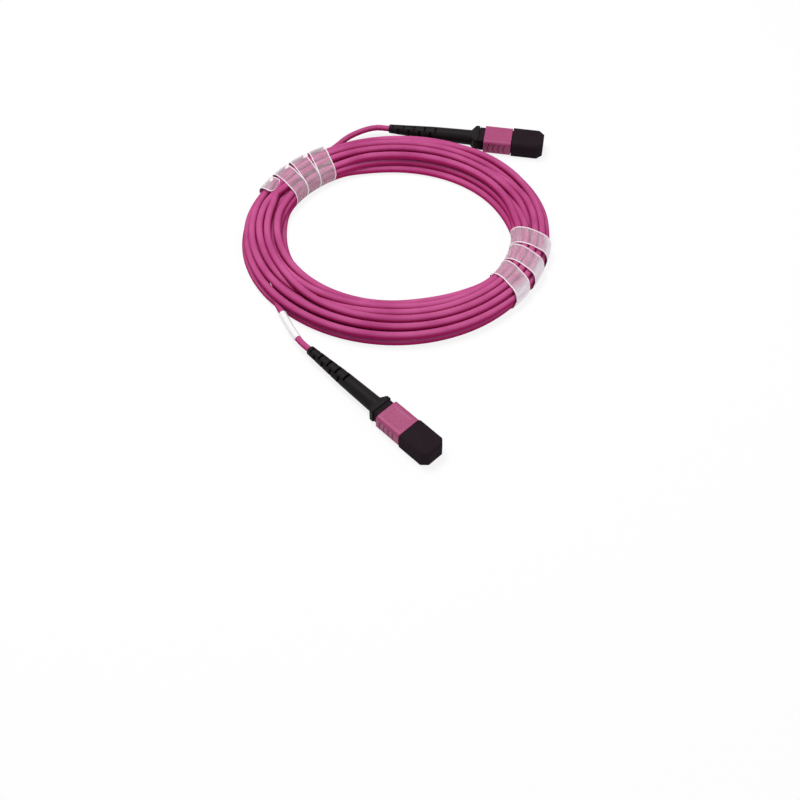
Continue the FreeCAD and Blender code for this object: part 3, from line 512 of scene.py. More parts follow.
@dataclass
class GridMesh:
    """A mesh of quads over a grid of points, which may close on itself each way."""

    points: np.ndarray
    loop_rows: bool = False
    loop_columns: bool = True
    capped: bool = False
    run: np.ndarray | None = None

    def faces(self) -> list[tuple[int, ...]]:
        """Corner numbers of each face.

        Returns:
            Quads row by row, then the two end caps if there are any.
        """
        rows, columns = self.points.shape[:2]
        found = []
        for row in range(rows if self.loop_rows else rows - 1):
            ahead = (row + 1) % rows
            for column in range(columns if self.loop_columns else columns - 1):
                beside = (column + 1) % columns
                found.append((row * columns + column, row * columns + beside,
                              ahead * columns + beside, ahead * columns + column))
        if self.capped:
            found.append(tuple(range(columns)))
            found.append(tuple(range((rows - 1) * columns, rows * columns)))
        return found

    def strip_map(self, mesh: bpy.types.Mesh) -> None:
        """Writes the strip coordinates: along in metres, across or round from 0 to 1.

        Args:
            mesh: The mesh made from this grid's faces.
        """
        rows, columns = self.points.shape[:2]
        run = self.run if self.run is not None else np.arange(rows) * MM
        wide = columns if self.loop_columns else columns - 1
        layer = mesh.uv_layers.new(name="strip")
        places = np.zeros((len(mesh.loops), 2))
        for face in mesh.polygons:
            held = [mesh.loops[index].vertex_index % columns for index in face.loop_indices]
            folded = max(held) - min(held) > columns // 2
            for index, column in zip(face.loop_indices, held):
                row = mesh.loops[index].vertex_index // columns
                shift = columns if folded and column == 0 else 0
                places[index] = (run[row], (column + shift) / wide)
        layer.data.foreach_set("uv", places.ravel())

    def build(self, name: str, sharp: float = math.radians(40.0)) -> bpy.types.Object:
        """Makes the object, shaded smooth with sharp edges kept.

        Args:
            name: The piece's name.
            sharp: Edges that turn more than this stay sharp.

        Returns:
            The linked object.
        """
        mesh = bpy.data.meshes.new(name)
        mesh.from_pydata(self.points.reshape(-1, 3).tolist(), [], self.faces())
        if self.loop_columns and (self.capped or self.loop_rows):
            shell = bmesh.new()
            shell.from_mesh(mesh)
            bmesh.ops.recalc_face_normals(shell, faces=shell.faces)
            shell.to_mesh(mesh)
            shell.free()
        self.strip_map(mesh)
        mesh.polygons.foreach_set("use_smooth", [True] * len(mesh.polygons))
        mesh.set_sharp_from_angle(angle=sharp)
        return linked(name, mesh)


@dataclass(frozen=True)
class PlugAxes:
    """A plug's own axes: ahead along it from its outer housing's rear edge, across it, and up."""

    tag: Tag
    origin: np.ndarray
    ahead: np.ndarray
    across: np.ndarray

    @classmethod
    def of(cls, tag: Tag) -> "PlugAxes":
        """Reads the axes from the cap's joint and the outer housing's solid.

        Args:
            tag: The end of the cable.

        Returns:
            The plug's axes.
        """
        ahead = np.array(joint_row(f"dust_cap_{tag.value}_pull")["axis"], float)
        ahead /= np.linalg.norm(ahead)
        across = np.cross(UP, ahead)
        housing = corners(f"outer_housing_{tag.value}")
        sides = housing @ across
        origin = ahead * (housing @ ahead).min() + across * (sides.min() + sides.max()) / 2.0
        origin[2] = (housing[:, 2].min() + housing[:, 2].max()) / 2.0
        return cls(tag, origin, ahead, across)

    def put(self, along: Any, side: Any, rise: Any) -> np.ndarray:
        """Points of the part's frame from distances along, across and up.

        Args:
            along: Distance ahead of the origin.
            side: Distance across.
            rise: Distance up.

        Returns:
            Points with x, y, z last.
        """
        parts = np.broadcast_arrays(along, side, rise)
        axes = (self.ahead, self.across, UP)
        return self.origin + sum(part[..., None] * axis for part, axis in zip(parts, axes))

    def loft(self, rows: Sequence[tuple[float, Any]], angle: np.ndarray, side: float = 0.0) -> np.ndarray:
        """Rings of points from rows of (place along the plug, distances from a line at that side)."""
        return np.stack([self.put(along, side + reach * np.cos(angle), reach * np.sin(angle))
                         for along, reach in rows])

    def span(self, stem: str) -> tuple[np.ndarray, np.ndarray]:
        """Lowest and highest reach of one of the plug's solids along its own axes.

        Args:
            stem: The solid's name without the plug's letter.

        Returns:
            Both reaches as (ahead, across, up).
        """
        away = corners(f"{stem}_{self.tag.value}") - self.origin
        local = np.stack([away @ self.ahead, away @ self.across, away @ UP], axis=1)
        return local.min(axis=0), local.max(axis=0)


@dataclass(frozen=True)
class Ring:
    """The oval that the middle of the bundle follows."""

    centre: np.ndarray
    half_long: float
    half_short: float
    half_width: float
    height: float

    @classmethod
    def of_coil(cls, bundle_width: float) -> "Ring":
        """Reads the oval from the coil's solid.

        Args:
            bundle_width: Width of the bundle of turns.

        Returns:
            The ring.
        """
        low, high = (np.array(corner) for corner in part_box("cable_coil"))
        half = (high - low) / 2.0
        inset = bundle_width / 2.0
        return cls((low + high) / 2.0, half[0] - inset, half[1] - inset, inset, high[2])

    def point(self, angle: Any, out: Any, height: Any) -> np.ndarray:
        """Points of the bundle.

        Args:
            angle: Angles round the ring.
            out: Distances out from the bundle's middle.
            height: Heights above the floor.

        Returns:
            Points with x, y, z last.
        """
        x = self.centre[0] + (self.half_long + out) * np.cos(angle)
        y = self.centre[1] + (self.half_short + out) * np.sin(angle)
        return np.stack(np.broadcast_arrays(x, y, height), axis=-1)

    def turn(self, angle: float, distance: float, out: float = 0.0) -> float:
        """The change of angle that moves a distance along the bundle, out from its middle."""
        long_step = (self.half_long + out) * math.sin(angle)
        return distance / math.hypot(long_step, (self.half_short + out) * math.cos(angle))


@dataclass
class Winding:
    """The turns of the coil as one strand: it fills the bottom row inwards, then zigzags out on top."""

    ring: Ring
    strand: float = 3.5 * MM
    start: float = math.radians(206.8)
    turns: float = 13.227
    per_turn: int = 40
    bottom_slots: tuple[float, ...] = (1.22, 0.1, -1.04, -2.3)
    upper_start: float = -1.85
    upper_step: float = 0.44
    outer_slot: float = 2.12
    loose_pitch: float = 3.95 * MM
    tied_pitch: float = 3.55 * MM
    row_rise: float = 3.05 * MM
    shift_width: float = 0.15
    sway: float = 3.4 * MM
    sway_wave: float = 0.7
    sway_lift: float = 0.6
    tie_angles: tuple[float, ...] = (math.radians(139.6), math.radians(-21.0))
    tie_core: float = 20.0 * MM
    tie_fade: float = 26.0 * MM
    tie_squeeze: float = 1.5 * MM
    tie_lift: float = 0.5 * MM
    inner_spread: float = 1.1 * MM
    lead_slant: float = 130.0 * MM
    lead_rise: float = 10.0 * MM
    lead_turns: float = 0.15
    push: float = 0.3
    pull: float = 0.02
    sag: float = 0.012 * MM
    smoothing: float = 0.2
    last_smoothing: float = 0.06
    last_start: float = 0.9
    least_apart: float = 0.05 * MM
    arch_width: float = 1.06
    least_arch: float = 0.04
    rounds: int = 500
    seed: int = 7

    def slots(self) -> np.ndarray:
        """Places of the turns in the bundle's section, the last one low on the outside.

        Returns:
            Rows of (out in strand pitches, height) in the order in which the strand takes them.
        """
        low = self.strand / 2.0
        places = [(out, low) for out in self.bottom_slots]
        for index in range(math.ceil(self.turns) - len(places) - 1):
            row = 1 + index % 2
            places.append((self.upper_step * index + self.upper_start, low + row * self.row_rise))
        return np.array(places + [(self.outer_slot, low)])

    def tied(self, angle: np.ndarray) -> np.ndarray:
        """How firmly the film holds the bundle.

        Args:
            angle: Angles round the ring.

        Returns:
            Shares from 0 to 1.
        """
        held = np.zeros_like(angle)
        for tie in self.tie_angles:
            away = np.abs((angle - tie + math.pi) % FULL_TURN - math.pi)
            distance = away * self.ring.half_long
            held = np.maximum(held, 1.0 - ease((distance - self.tie_core) / self.tie_fade))
        return held

    def track(self, passed: np.ndarray) -> np.ndarray:
        """Where the strand would lie after a number of turns, before it settles.

        Args:
            passed: Turns from the start; before 0 it is the lead that comes in underneath.

        Returns:
            Rows of (out, height).
        """
        slots = self.slots()
        last = len(slots) - 1
        spare = self.turns - last
        level = np.zeros_like(passed)
        for index in range(last):
            middle = index + spare + (1.0 - spare) * (1.0 - (index + 0.5) / last)
            level += ease((passed - middle) / self.shift_width + 0.5)
        under = np.clip(level.astype(int), 0, last - 1)
        share = (level - under)[:, None]
        places = slots[under] * (1.0 - share) + slots[under + 1] * share
        held = self.tied(self.start - FULL_TURN * passed)
        places[:, 0] *= self.loose_pitch + (self.tied_pitch - self.loose_pitch) * held
        before = np.clip(-passed, 0.0, None)
        places[:, 0] += self.lead_slant * before
        places[:, 1] += self.lead_rise * before
        return places

    def drift(self, passed: np.ndarray) -> np.ndarray:
        """Seeded wandering of the strand from its slot between one tie and the next.

        Args:
            passed: Turns from the start.

        Returns:
            Rows of (out, height) to add.
        """
        first, second = (((self.start - tie) / FULL_TURN) % 1.0 for tie in self.tie_angles)
        turn = np.floor(passed - first).astype(int)
        share = passed - first - turn
        whole = (second - first) % 1.0
        front = share > whole
        along = np.where(front, (share - whole) / (1.0 - whole), share / whole)
        span = 2 * turn + front + 2
        sizes = np.random.default_rng(self.seed).uniform(-1.0, 1.0, (span.max() + 1, 3))[span]
        bow = np.sin(math.pi * along)
        out = sizes[:, 0] * bow + self.sway_wave * sizes[:, 1] * np.sin(FULL_TURN * along)
        return np.stack([self.sway * out, self.sway_lift * self.sway * sizes[:, 2] * bow], axis=1)

    def settle(self) -> tuple[np.ndarray, np.ndarray]:
        """Lets the turns push each other apart inside the bundle.

        Returns:
            Turns passed at each point, and rows of (out, height).
        """
        lead = round(self.lead_turns * self.per_turn)
        count = round(self.turns * self.per_turn) + 1
        passed = (np.arange(count + lead) - lead) / self.per_turn
        held = self.tied(self.start - FULL_TURN * passed)
        aim = self.track(passed) + self.drift(passed)
        aim[:lead + 1] = self.track(passed[:lead + 1])
        half = self.ring.half_width - self.strand / 2.0 - self.tie_squeeze * held
        inner = half + self.inner_spread * (1.0 - held)
        floor = self.strand / 2.0 + self.tie_lift * held
        top = self.ring.height - self.strand / 2.0
        place = aim.copy()
        for sweep in range(self.rounds):
            closing = sweep > self.last_start * self.rounds
            smoothing = self.last_smoothing if closing else self.smoothing
            move = np.zeros_like(place)
            for step in range(self.per_turn, len(place), self.per_turn):
                apart = place[step:] - place[:-step]
                distance = np.maximum(np.linalg.norm(apart, axis=1), self.least_apart)
                push = self.push * np.clip(self.strand - distance, 0.0, None) / distance
                move[step:] += push[:, None] * apart
                move[:-step] -= push[:, None] * apart
            if not closing:
                move += self.pull * (aim - place)
                move[:, 1] -= self.sag * (1.0 - held)
            place += move
            place[1:-1] += smoothing * (place[:-2] + place[2:] - 2.0 * place[1:-1])
            place[:, 0] = np.clip(place[:, 0], -inner, half)
            bulge = 1.0 - (place[:, 0] / (self.arch_width * half)) ** 2
            arch = np.sqrt(np.clip(bulge, self.least_arch, 1.0))
            place[:, 1] = np.clip(place[:, 1], floor, floor + (top - floor) * (1.0 + held * (arch - 1.0)))
            place[:lead + 1] = aim[:lead + 1]
        return passed[lead:], place[lead:]


@dataclass
class CableRun:
    """The whole cable: out of the front boot, round the coil and into the back boot."""

    winding: Winding
    front: PlugAxes
    back: PlugAxes
    length: float = 5.0
    lead_diameter: float = 2.8 * MM
    jacket_end: float = -12.0 * MM
    boot_middle: float = -30.0 * MM
    run_out: float = -55.5 * MM
    neck_end: float = -16.15 * MM
    sides: int = 18
    order: int = 3
    resolution: int = 4
    front_slim: float = 84.0 * MM
    back_slim: float = 62.0 * MM
    swell: float = 26.0 * MM
    marker_start: float = 8.6 * MM
    marker_length: float = 17.0 * MM
    marker_wall: float = 0.24 * MM
    marker_gap: float = 0.04 * MM
    marker_edge: float = 0.08 * MM
    marker_rings: int = 40

    # Points of the free ends, from the boot to the coil
    FRONT_LEAD = ((-0.051875, -0.018571, 0.0026),)
    BACK_LEAD = ((-0.024175, 0.092929, 0.0032), (-0.030975, 0.084629, 0.0026))

    def __post_init__(self) -> None:
        """Settles the turns and reads the cable's smooth line."""
        self.passed, self.places = self.winding.settle()
        self.line = self.smooth_line(self.route())
        self.run = run_along(self.line)

    def stations(self, plug: PlugAxes) -> np.ndarray:
        """Points on a plug's axis, from inside its crimp ring to the end of the straight run."""
        tail = plug.span("strain_boot")[0][0]
        return plug.put(np.array((self.jacket_end, self.boot_middle, tail, self.run_out)), 0.0, 0.0)

    def route(self) -> np.ndarray:
        """Control points of the whole cable.

        Returns:
            Rows of x, y, z.
        """
        angle = self.winding.start - FULL_TURN * self.passed
        turns = self.winding.ring.point(angle, self.places[:, 0], self.places[:, 1])
        return np.concatenate([self.stations(self.front), np.array(self.FRONT_LEAD), turns,
                               np.array(self.BACK_LEAD)[::-1], self.stations(self.back)[::-1]])

    def smooth_line(self, points: np.ndarray) -> np.ndarray:
        """Points of the NURBS spline that a route's control points shape.

        Args:
            points: Control points.

        Returns:
            Points along the spline.
        """
        curve = bpy.data.curves.new("route", "CURVE")
        curve.dimensions = "3D"
        spline = curve.splines.new("NURBS")
        spline.points.add(len(points) - 1)
        spline.points.foreach_set("co", np.c_[points, np.ones(len(points))].ravel())
        spline.order_u = self.order
        spline.use_endpoint_u = True
        spline.resolution_u = self.resolution
        holder = bpy.data.objects.new("route", curve)
        mesh = bpy.data.meshes.new_from_object(holder)
        line = np.array([corner.co for corner in mesh.vertices], float)
        bpy.data.objects.remove(holder)
        bpy.data.curves.remove(curve)
        bpy.data.meshes.remove(mesh)
        return line

    def tube(self, line: np.ndarray, radius: np.ndarray) -> np.ndarray:
        """Rings round a line.

        Args:
            line: Points of the line.
            radius: Radius at each point.

        Returns:
            Points by ring and side.
        """
        heading = np.gradient(line, axis=0)
        heading /= np.linalg.norm(heading, axis=1)[:, None]
        lift = UP - heading * (heading @ UP)[:, None]
        lift /= np.linalg.norm(lift, axis=1)[:, None]
        side = np.cross(heading, lift)
        angle = round_angles(self.sides)[None, :, None]
        ring = np.cos(angle) * side[:, None, :] + np.sin(angle) * lift[:, None, :]
        return line[:, None, :] + ring * radius[:, None, None]

    def radii(self) -> np.ndarray:
        """Radius along the cable: slim leads, full turns.

        Returns:
            A radius for each point of the line.
        """
        lead = self.lead_diameter / 2.0
        full = self.winding.strand / 2.0
        leaving = ease((self.run - self.front_slim) / self.swell)
        closing = ease((self.run[-1] - self.run - self.back_slim) / self.swell)
        return lead + (full - lead) * np.minimum(leaving, closing)

    def build_jacket(self) -> bpy.types.Object:
        """The jacket as one tube along the smooth line.


        Returns:
            The jacket.
        """
        rings = self.tube(self.line, self.radii())
        piece = GridMesh(rings, capped=True, run=self.run).build("cable_jacket")
        JACKET.dress(piece)
        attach(piece, "cable")
        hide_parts("cable_coil", "cable_lead_a", "cable_lead_b")
        start = self.front.put(self.neck_end, 0.0, 0.0)
        return piece

    def build_marker(self) -> bpy.types.Object:
        """The white sleeve on the front lead, open at both ends.

        Returns:
            The sleeve.
        """
        tail = self.jacket_end - self.front.span("strain_boot")[0][0]
        first = tail + self.marker_start
        run = np.linspace(first, first + self.marker_length, self.marker_rings)
        line = read_rows(run, self.run, self.line)
        inside = np.full(len(run), self.lead_diameter / 2.0 + self.marker_gap)
        outside = inside + self.marker_wall
        outside[[0, -1]] -= self.marker_edge
        shell = np.concatenate([self.tube(line, outside), self.tube(line, inside)[::-1]])
        along = np.concatenate([run, run[::-1]])
        piece = GridMesh(shell, loop_rows=True, run=along).build("marker_sleeve_white")
        WHITE.dress(piece)
        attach(piece, "cable")
        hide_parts("marker_sleeve")
        return piece

    def section(self, angle: float) -> np.ndarray:
        """Places of every turn that passes an angle of the ring, as rows of (out, height)."""
        first = ((self.winding.start - angle) / FULL_TURN) % 1.0
        return read_rows(np.arange(first, self.winding.turns, 1.0), self.passed, self.places)


@dataclass
class FilmWrap:
    """A clear film strip wound round the bundle."""

    name: str
    cable: CableRun
    middle: float
    first_lean: float
    width: float
    pitch: float
    turns: float = 3.0
    finish: FilmFinish = FILM
    thickness: float = 0.14 * MM
    gap: float = 0.14 * MM
    outer_slack: float = 1.4 * MM
    inner_slack: float = 0.9 * MM
    outer_lift: float = 0.4
    inner_lift: float = 0.35
    slack_spread: float = 0.5
    reach: float = 10.55 * MM
    low: float = 0.18 * MM
    high: float = 11.0 * MM
    heart: float = 5.3 * MM
    blur: float = math.radians(20.0)
    least_facing: float = 0.15
    past_ends: float = 0.6
    girth: float = 52.0 * MM
    end_corner: float = 0.45
    end_width: float = 0.08
    steps: int = 300
    across: int = 12
    directions: int = 180
    sections: int = 61

    def __post_init__(self) -> None:
        """Reads the film's girth round the bundle at angles past both ends of the strip."""
        covered = self.turns * self.pitch + self.width
        reach = self.cable.winding.ring.turn(self.middle, self.past_ends * covered)
        self.angles = self.middle + np.linspace(-reach, reach, self.sections)
        self.leans = round_angles(self.directions)
        self.table = np.stack([self.profile(angle) for angle in self.angles])

    def profile(self, angle: float) -> np.ndarray:
        """Distances of the film from the bundle's heart in every direction, rounded over the strands.

        Args:
            angle: Angle round the ring.

        Returns:
            A distance for each lean.
        """
        centres = self.cable.section(angle) - np.array((0.0, self.heart))
        normals = np.stack([np.cos(self.leans), np.sin(self.leans)])
        support = (centres @ normals).max(axis=0) + self.cable.winding.strand / 2.0 + self.gap
        facing = np.cos(self.leans[:, None] - self.leans[None, :])
        straight = support[None, :] / np.maximum(facing, self.least_facing)
        hull = np.where(facing > self.least_facing, straight, np.inf).min(axis=1)
        weights = np.exp(-((1.0 - facing) / (1.0 - math.cos(self.blur))))
        rounded = np.maximum(hull, weights @ hull / weights.sum(axis=1))
        out_way = (self.leans - self.outer_lift + math.pi) % FULL_TURN - math.pi
        in_way = (self.leans + self.inner_lift) % FULL_TURN - math.pi
        rounded += self.outer_slack * np.exp(-(out_way / self.slack_spread) ** 2)
        return rounded + self.inner_slack * np.exp(-(in_way / self.slack_spread) ** 2)

    def skin(self, angle: float, lean: float) -> tuple[float, float]:
        """Where the film lies at an angle of the ring and a direction from the bundle's heart.

        Args:
            angle: Angle round the ring.
            lean: Direction in the section, 0 outwards, a quarter turn up.

        Returns:
            Out and height.
        """
        place = np.interp(angle, self.angles, np.arange(self.sections))
        below = min(int(place), self.sections - 2)
        row = self.table[below] + (place - below) * (self.table[below + 1] - self.table[below])
        distance = float(np.interp(lean, self.leans, row, period=FULL_TURN))
        out = float(np.clip(distance * math.cos(lean), -self.reach, self.reach))
        height = float(np.clip(self.heart + distance * math.sin(lean), self.low, self.high))
        return out, height

    def half_width(self, wound: float) -> float:
        """Half the strip's width, rounded off at its two ends.

        Args:
            wound: Turns from the strip's start.

        Returns:
            The half width there.
        """
        left = min(wound, self.turns - wound) * self.girth
        short = max(0.0, 1.0 - left / (self.end_corner * self.width))
        return max(self.end_width, math.sqrt(1.0 - short ** 2)) * self.width / 2.0

    def build(self) -> bpy.types.Object:
        """Winds the strip.

        Returns:
            The strip, with its thickness as a modifier.
        """
        ring = self.cable.winding.ring
        grid = np.zeros((self.steps + 1, self.across + 1, 3))
        for row in range(self.steps + 1):
            wound = self.turns * row / self.steps
            lean = self.first_lean - FULL_TURN * wound
            centre = self.middle + ring.turn(self.middle, self.pitch * (self.turns / 2.0 - wound))
            side = ring.turn(centre, self.half_width(wound), self.skin(centre, lean)[0])
            for column, share in enumerate(np.linspace(-1.0, 1.0, self.across + 1)):
                angle = centre + share * side
                out, height = self.skin(angle, lean)
                grid[row, column] = ring.point(angle, out, height)
        run = run_along(grid[:, self.across // 2])
        piece = GridMesh(grid, loop_columns=False, run=run).build(f"{self.name}_clear")
        wall = piece.modifiers.new("thickness", "SOLIDIFY")
        wall.thickness = self.thickness
        wall.offset = 0.0
        self.finish.dress(piece)
        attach(piece, "cable")
        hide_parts(self.name)
        return piece


def rounded_reach(angle: np.ndarray, half_wide: float, half_high: float, corner: float) -> np.ndarray:
    """Distance from the middle of a rounded rectangle to its outline.

    Args:
        angle: Directions, 0 sideways and a quarter turn up.
        half_wide: Half the width.
        half_high: Half the height.
        corner: Corner radius.

    Returns:
        The distances.
    """
    across = np.abs(np.cos(angle))
    upward = np.abs(np.sin(angle))
    straight = np.minimum(half_wide / np.maximum(across, LEAST), half_high / np.maximum(upward, LEAST))
    centre = np.array((half_wide - corner, half_high - corner))
    towards = across * centre[0] + upward * centre[1]
    reach = towards + np.sqrt(np.maximum(towards ** 2 - centre @ centre + corner ** 2, 0.0))
    in_corner = (straight * across > centre[0]) & (straight * upward > centre[1])
    return np.where(in_corner, reach, straight)


@dataclass
class OuterHousing:
    """The sliding outer housing with its bowed grip grooves and plain top panel."""

    axes: PlugAxes
    corner: float = 1.7 * MM
    bore_wall_side: float = 1.25 * MM
    bore_wall_top: float = 0.5 * MM
    bore_corner: float = 0.3 * MM
    bore_step: float = 0.01 * MM
    channel_half: float = 0.75 * MM
    channel_depth: float = 0.6 * MM
    lug_start: float = 9.6 * MM
    lug_end: float = 10.9 * MM
    lug_rise: float = 0.8 * MM
    groove_start: float = 2.9 * MM
    groove_pitch: float = 2.55 * MM
    groove_count: int = 4
    groove_half: float = 0.24 * MM
    groove_depth: float = 0.55 * MM
    groove_bow: float = 1.5 * MM
    groove_flat: float = 0.4
    grip_reach: float = 0.95 * MM
    grip_fade: float = 0.8 * MM
    grip_full: float = 3.6
    grip_fall: float = 4.8
    panel_depth: float = 0.08 * MM
    panel_half: float = 3.5 * MM
    panel_rear: float = 2.6 * MM
    panel_front: float = 2.2 * MM
    panel_fade: float = 0.25 * MM
    edge: float = 0.22 * MM
    edge_shares: tuple[float, ...] = (0.1, 0.3, 0.6)
    stations: int = 116
    sides: int = 216
    sharp: float = math.radians(50.0)

    def outside(self, along: float, length: float, angle: np.ndarray, half: np.ndarray) -> np.ndarray:
        """Outline of the outside at a distance from the rear edge.

        Args:
            along: Distance from the rear edge.
            length: Length of the housing.
            angle: Directions in the section.
            half: Half the width and half the height.

        Returns:
            Distances from the axis.
        """
        near_end = min(along, length - along)
        short = max(0.0, 1.0 - near_end / self.edge)
        inset = self.edge * (1.0 - math.sqrt(max(0.0, 1.0 - short ** 2)))
        reach = rounded_reach(angle, half[0] - inset, half[1] - inset, self.corner)
        side = np.abs(reach * np.cos(angle))
        rise = reach * np.sin(angle)
        on_side = ease((side - half[0] + self.grip_reach) / self.grip_fade)
        on_side = on_side * ease(self.grip_full - self.grip_fall * rise / half[1])
        bowed = self.groove_bow * (1.0 - (rise / half[1]) ** 2)
        cut = np.zeros_like(angle)
        for index in range(self.groove_count):
            groove = self.groove_start + index * self.groove_pitch
            away = np.abs(along - groove - 0.5 * self.groove_bow + bowed)
            cut = np.maximum(cut, 1.0 - ease(away / self.groove_half - self.groove_flat))
        panel = rise > 0.0
        for inward in (self.panel_half - side, along - self.panel_rear, length - self.panel_front - along):
            panel = panel * ease(inward / self.panel_fade)
        return reach - self.groove_depth * on_side * cut - self.panel_depth * panel

    def inside(self, along: float, angle: np.ndarray, half: np.ndarray) -> np.ndarray:
        """Outline of the bore, with its spring channels and stop lugs.

        Args:
            along: Distance from the rear edge.
            angle: Directions in the section.
            half: Half the outside's width and half its height.

        Returns:
            Distances from the axis.
        """
        wide = half[0] - self.bore_wall_side
        reach = rounded_reach(angle, wide, half[1] - self.bore_wall_top, self.bore_corner)
        floor = wide + self.channel_depth
        if along > self.lug_start:
            floor = wide - self.lug_rise if along < self.lug_end else wide
        across = np.maximum(np.abs(np.cos(angle)), LEAST)
        channel = np.abs(np.sin(angle)) / across * floor < self.channel_half
        return np.where(channel, floor / across, reach)

    def build(self) -> bpy.types.Object:
        """Lofts the outside and the bore into one shell.

        Returns:
            The housing.
        """
        low, high = self.axes.span("outer_housing")
        length = high[0] - low[0]
        half = (high[1:] - low[1:]) / 2.0
        angle = round_angles(self.sides)
        edges = self.edge * np.array(self.edge_shares)
        stations = np.sort(np.concatenate([np.linspace(0.0, length, self.stations), edges, length - edges]))
        rows = [(low[0] + along, self.outside(along, length, angle, half)) for along in stations]
        lugs = [place + step for place in (self.lug_end, self.lug_start)
                for step in (self.bore_step, -self.bore_step)]
        rows += [(low[0] + along, self.inside(along, angle, half)) for along in (length, *lugs, 0.0)]
        points = self.axes.loft(rows, angle)
        tag = self.axes.tag.value
        piece = GridMesh(points, loop_rows=True).build(f"outer_housing_grip_{tag}", self.sharp)
        HOUSING.dress(piece)
        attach(piece, f"sleeve_{tag}")
        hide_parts(f"outer_housing_{tag}")
        return piece


class SlotWay(Enum):
    """Which way a slot of the strain boot opens."""

    UPRIGHT = "upright"
    SIDEWAYS = "sideways"


@dataclass
class StrainBoot:
    """The slotted taper of the strain boot with its flared hollow skirt."""

    axes: PlugAxes
    tail_radius: float = 2.1 * MM
    middle_radius: float = 3.25 * MM
    root_radius: float = 3.65 * MM
    root: float = -6.6 * MM
    middle: float = -25.6 * MM
    skirt_back: float = -4.5 * MM
    cavity_floor: float = -4.0 * MM
    barrel_radius: float = 2.72 * MM
    barrel_back: float = -10.65 * MM
    neck_radius: float = 1.83 * MM
    neck_start: float = -12.05 * MM
    neck_back: float = -16.25 * MM
    bore_radius: float = 1.5 * MM
    slot_start: float = 1.6 * MM
    slot_pitch: float = 2.65 * MM
    slot_width: float = 1.05 * MM
    slot_count: int = 9
    slot_turn: float = math.radians(-3.0)
    slot_open: float = math.radians(47.0)
    slot_floor: float = 1.34 * MM
    slot_wall: float = 0.06 * MM
    tail_bevel: float = 0.08 * MM
    tail_round: float = 0.25 * MM
    plain_rings: int = 14
    plain_start: float = 0.15
    flare_shares: tuple[float, ...] = (0.08, 0.2, 0.35, 0.55, 0.75, 0.9, 1.0)
    flare_wide: float = 0.86
    flare_high: float = 0.8
    lip: float = 0.6 * MM
    lip_outer: float = 0.15 * MM
    lip_inner: float = 0.12 * MM
    skirt_corner: float = 0.9 * MM
    inner_corner: float = 0.5 * MM
    sides: int = 128
    sharp: float = math.radians(38.0)

    def slot_spans(self, tail: float) -> list[tuple[float, float, SlotWay]]:
        """Start, end and way of each slot from the free end on.

        Args:
            tail: The boot's free end.

        Returns:
            The slots in order.
        """
        found = []
        for index in range(self.slot_count):
            start = tail + self.slot_start + index * self.slot_pitch
            way = SlotWay.SIDEWAYS if index % 2 else SlotWay.UPRIGHT
            found.append((start, start + self.slot_width, way))
        return found

    def taper(self, along: float, tail: float) -> float:
        """Radius of the taper at a place along the plug, from the boot's free end on."""
        radii = (self.tail_radius, self.middle_radius, self.root_radius, self.root_radius)
        return float(np.interp(along, (tail, self.middle, self.root, self.skirt_back), radii))

    def slotted(self, reach: np.ndarray, angle: np.ndarray, way: SlotWay) -> np.ndarray:
        """The outline with two openings of a slot cut down to the jacket inside."""
        facing = self.slot_turn + (math.pi / 2.0 if way is SlotWay.UPRIGHT else 0.0)
        return np.where(np.abs(np.cos(angle - facing)) > math.cos(self.slot_open), self.slot_floor, reach)

    def skirt(self, share: float, angle: np.ndarray, half: np.ndarray) -> np.ndarray:
        """Outline of the flare, from the round root to the full skirt.

        Args:
            share: 0 at the root and 1 at the skirt.
            angle: Directions in the section.
            half: Half the skirt's width and half its height.

        Returns:
            Distances from the axis.
        """
        first = self.root_radius * np.array((self.flare_wide, self.flare_high))
        wide, high = first + (half - first) * share
        return np.maximum(rounded_reach(angle, wide, high, self.skirt_corner), self.root_radius)

    def rows(self, angle: np.ndarray) -> list[tuple[float, np.ndarray]]:
        """Outlines from the free end over the outside and back through the bore.

        Args:
            angle: Directions in the section.

        Returns:
            Places along the plug with the distances from the axis.
        """
        low, high = self.axes.span("strain_boot")
        tail = low[0]
        front = high[0]
        half = (high[1:] - low[1:]) / 2.0
        one = np.ones_like(angle)
        found = [(tail, one * (self.tail_radius - self.tail_round)),
                 (tail + self.tail_bevel, one * (self.tail_radius - self.tail_bevel)),
                 (tail + self.tail_round, one * self.taper(tail + self.tail_round, tail))]
        for start, end, way in self.slot_spans(tail):
            for along in (start - self.slot_wall, start, end, end + self.slot_wall):
                outline = one * self.taper(along, tail)
                cut = along in (start, end)
                found.append((along, self.slotted(outline, angle, way) if cut else outline))
        last = found[-1][0]
        for share in np.linspace(self.plain_start, 1.0, self.plain_rings):
            along = last + (self.root - last) * share
            found.append((along, one * self.taper(along, tail)))
        for share in self.flare_shares:
            along = self.root + (self.skirt_back - self.root) * share
            found.append((along, self.skirt((ease(np.array(share)) + share) / 2.0, angle, half)))
        outer = rounded_reach(angle, half[0], half[1], self.skirt_corner)
        inner = rounded_reach(angle, half[0] - self.lip, half[1] - self.lip, self.inner_corner)
        found += [(front - self.lip_outer, outer), (front, outer - self.lip_outer),
                  (front, inner + self.lip_inner), (front - self.lip_inner, inner),
                  (self.cavity_floor, inner)]
        bore = ((self.cavity_floor, self.barrel_radius), (self.barrel_back, self.barrel_radius),
                (self.neck_start, self.neck_radius), (self.neck_back, self.neck_radius),
                (self.neck_back, self.bore_radius), (tail, self.bore_radius))
        return found + [(along, one * radius) for along, radius in bore]

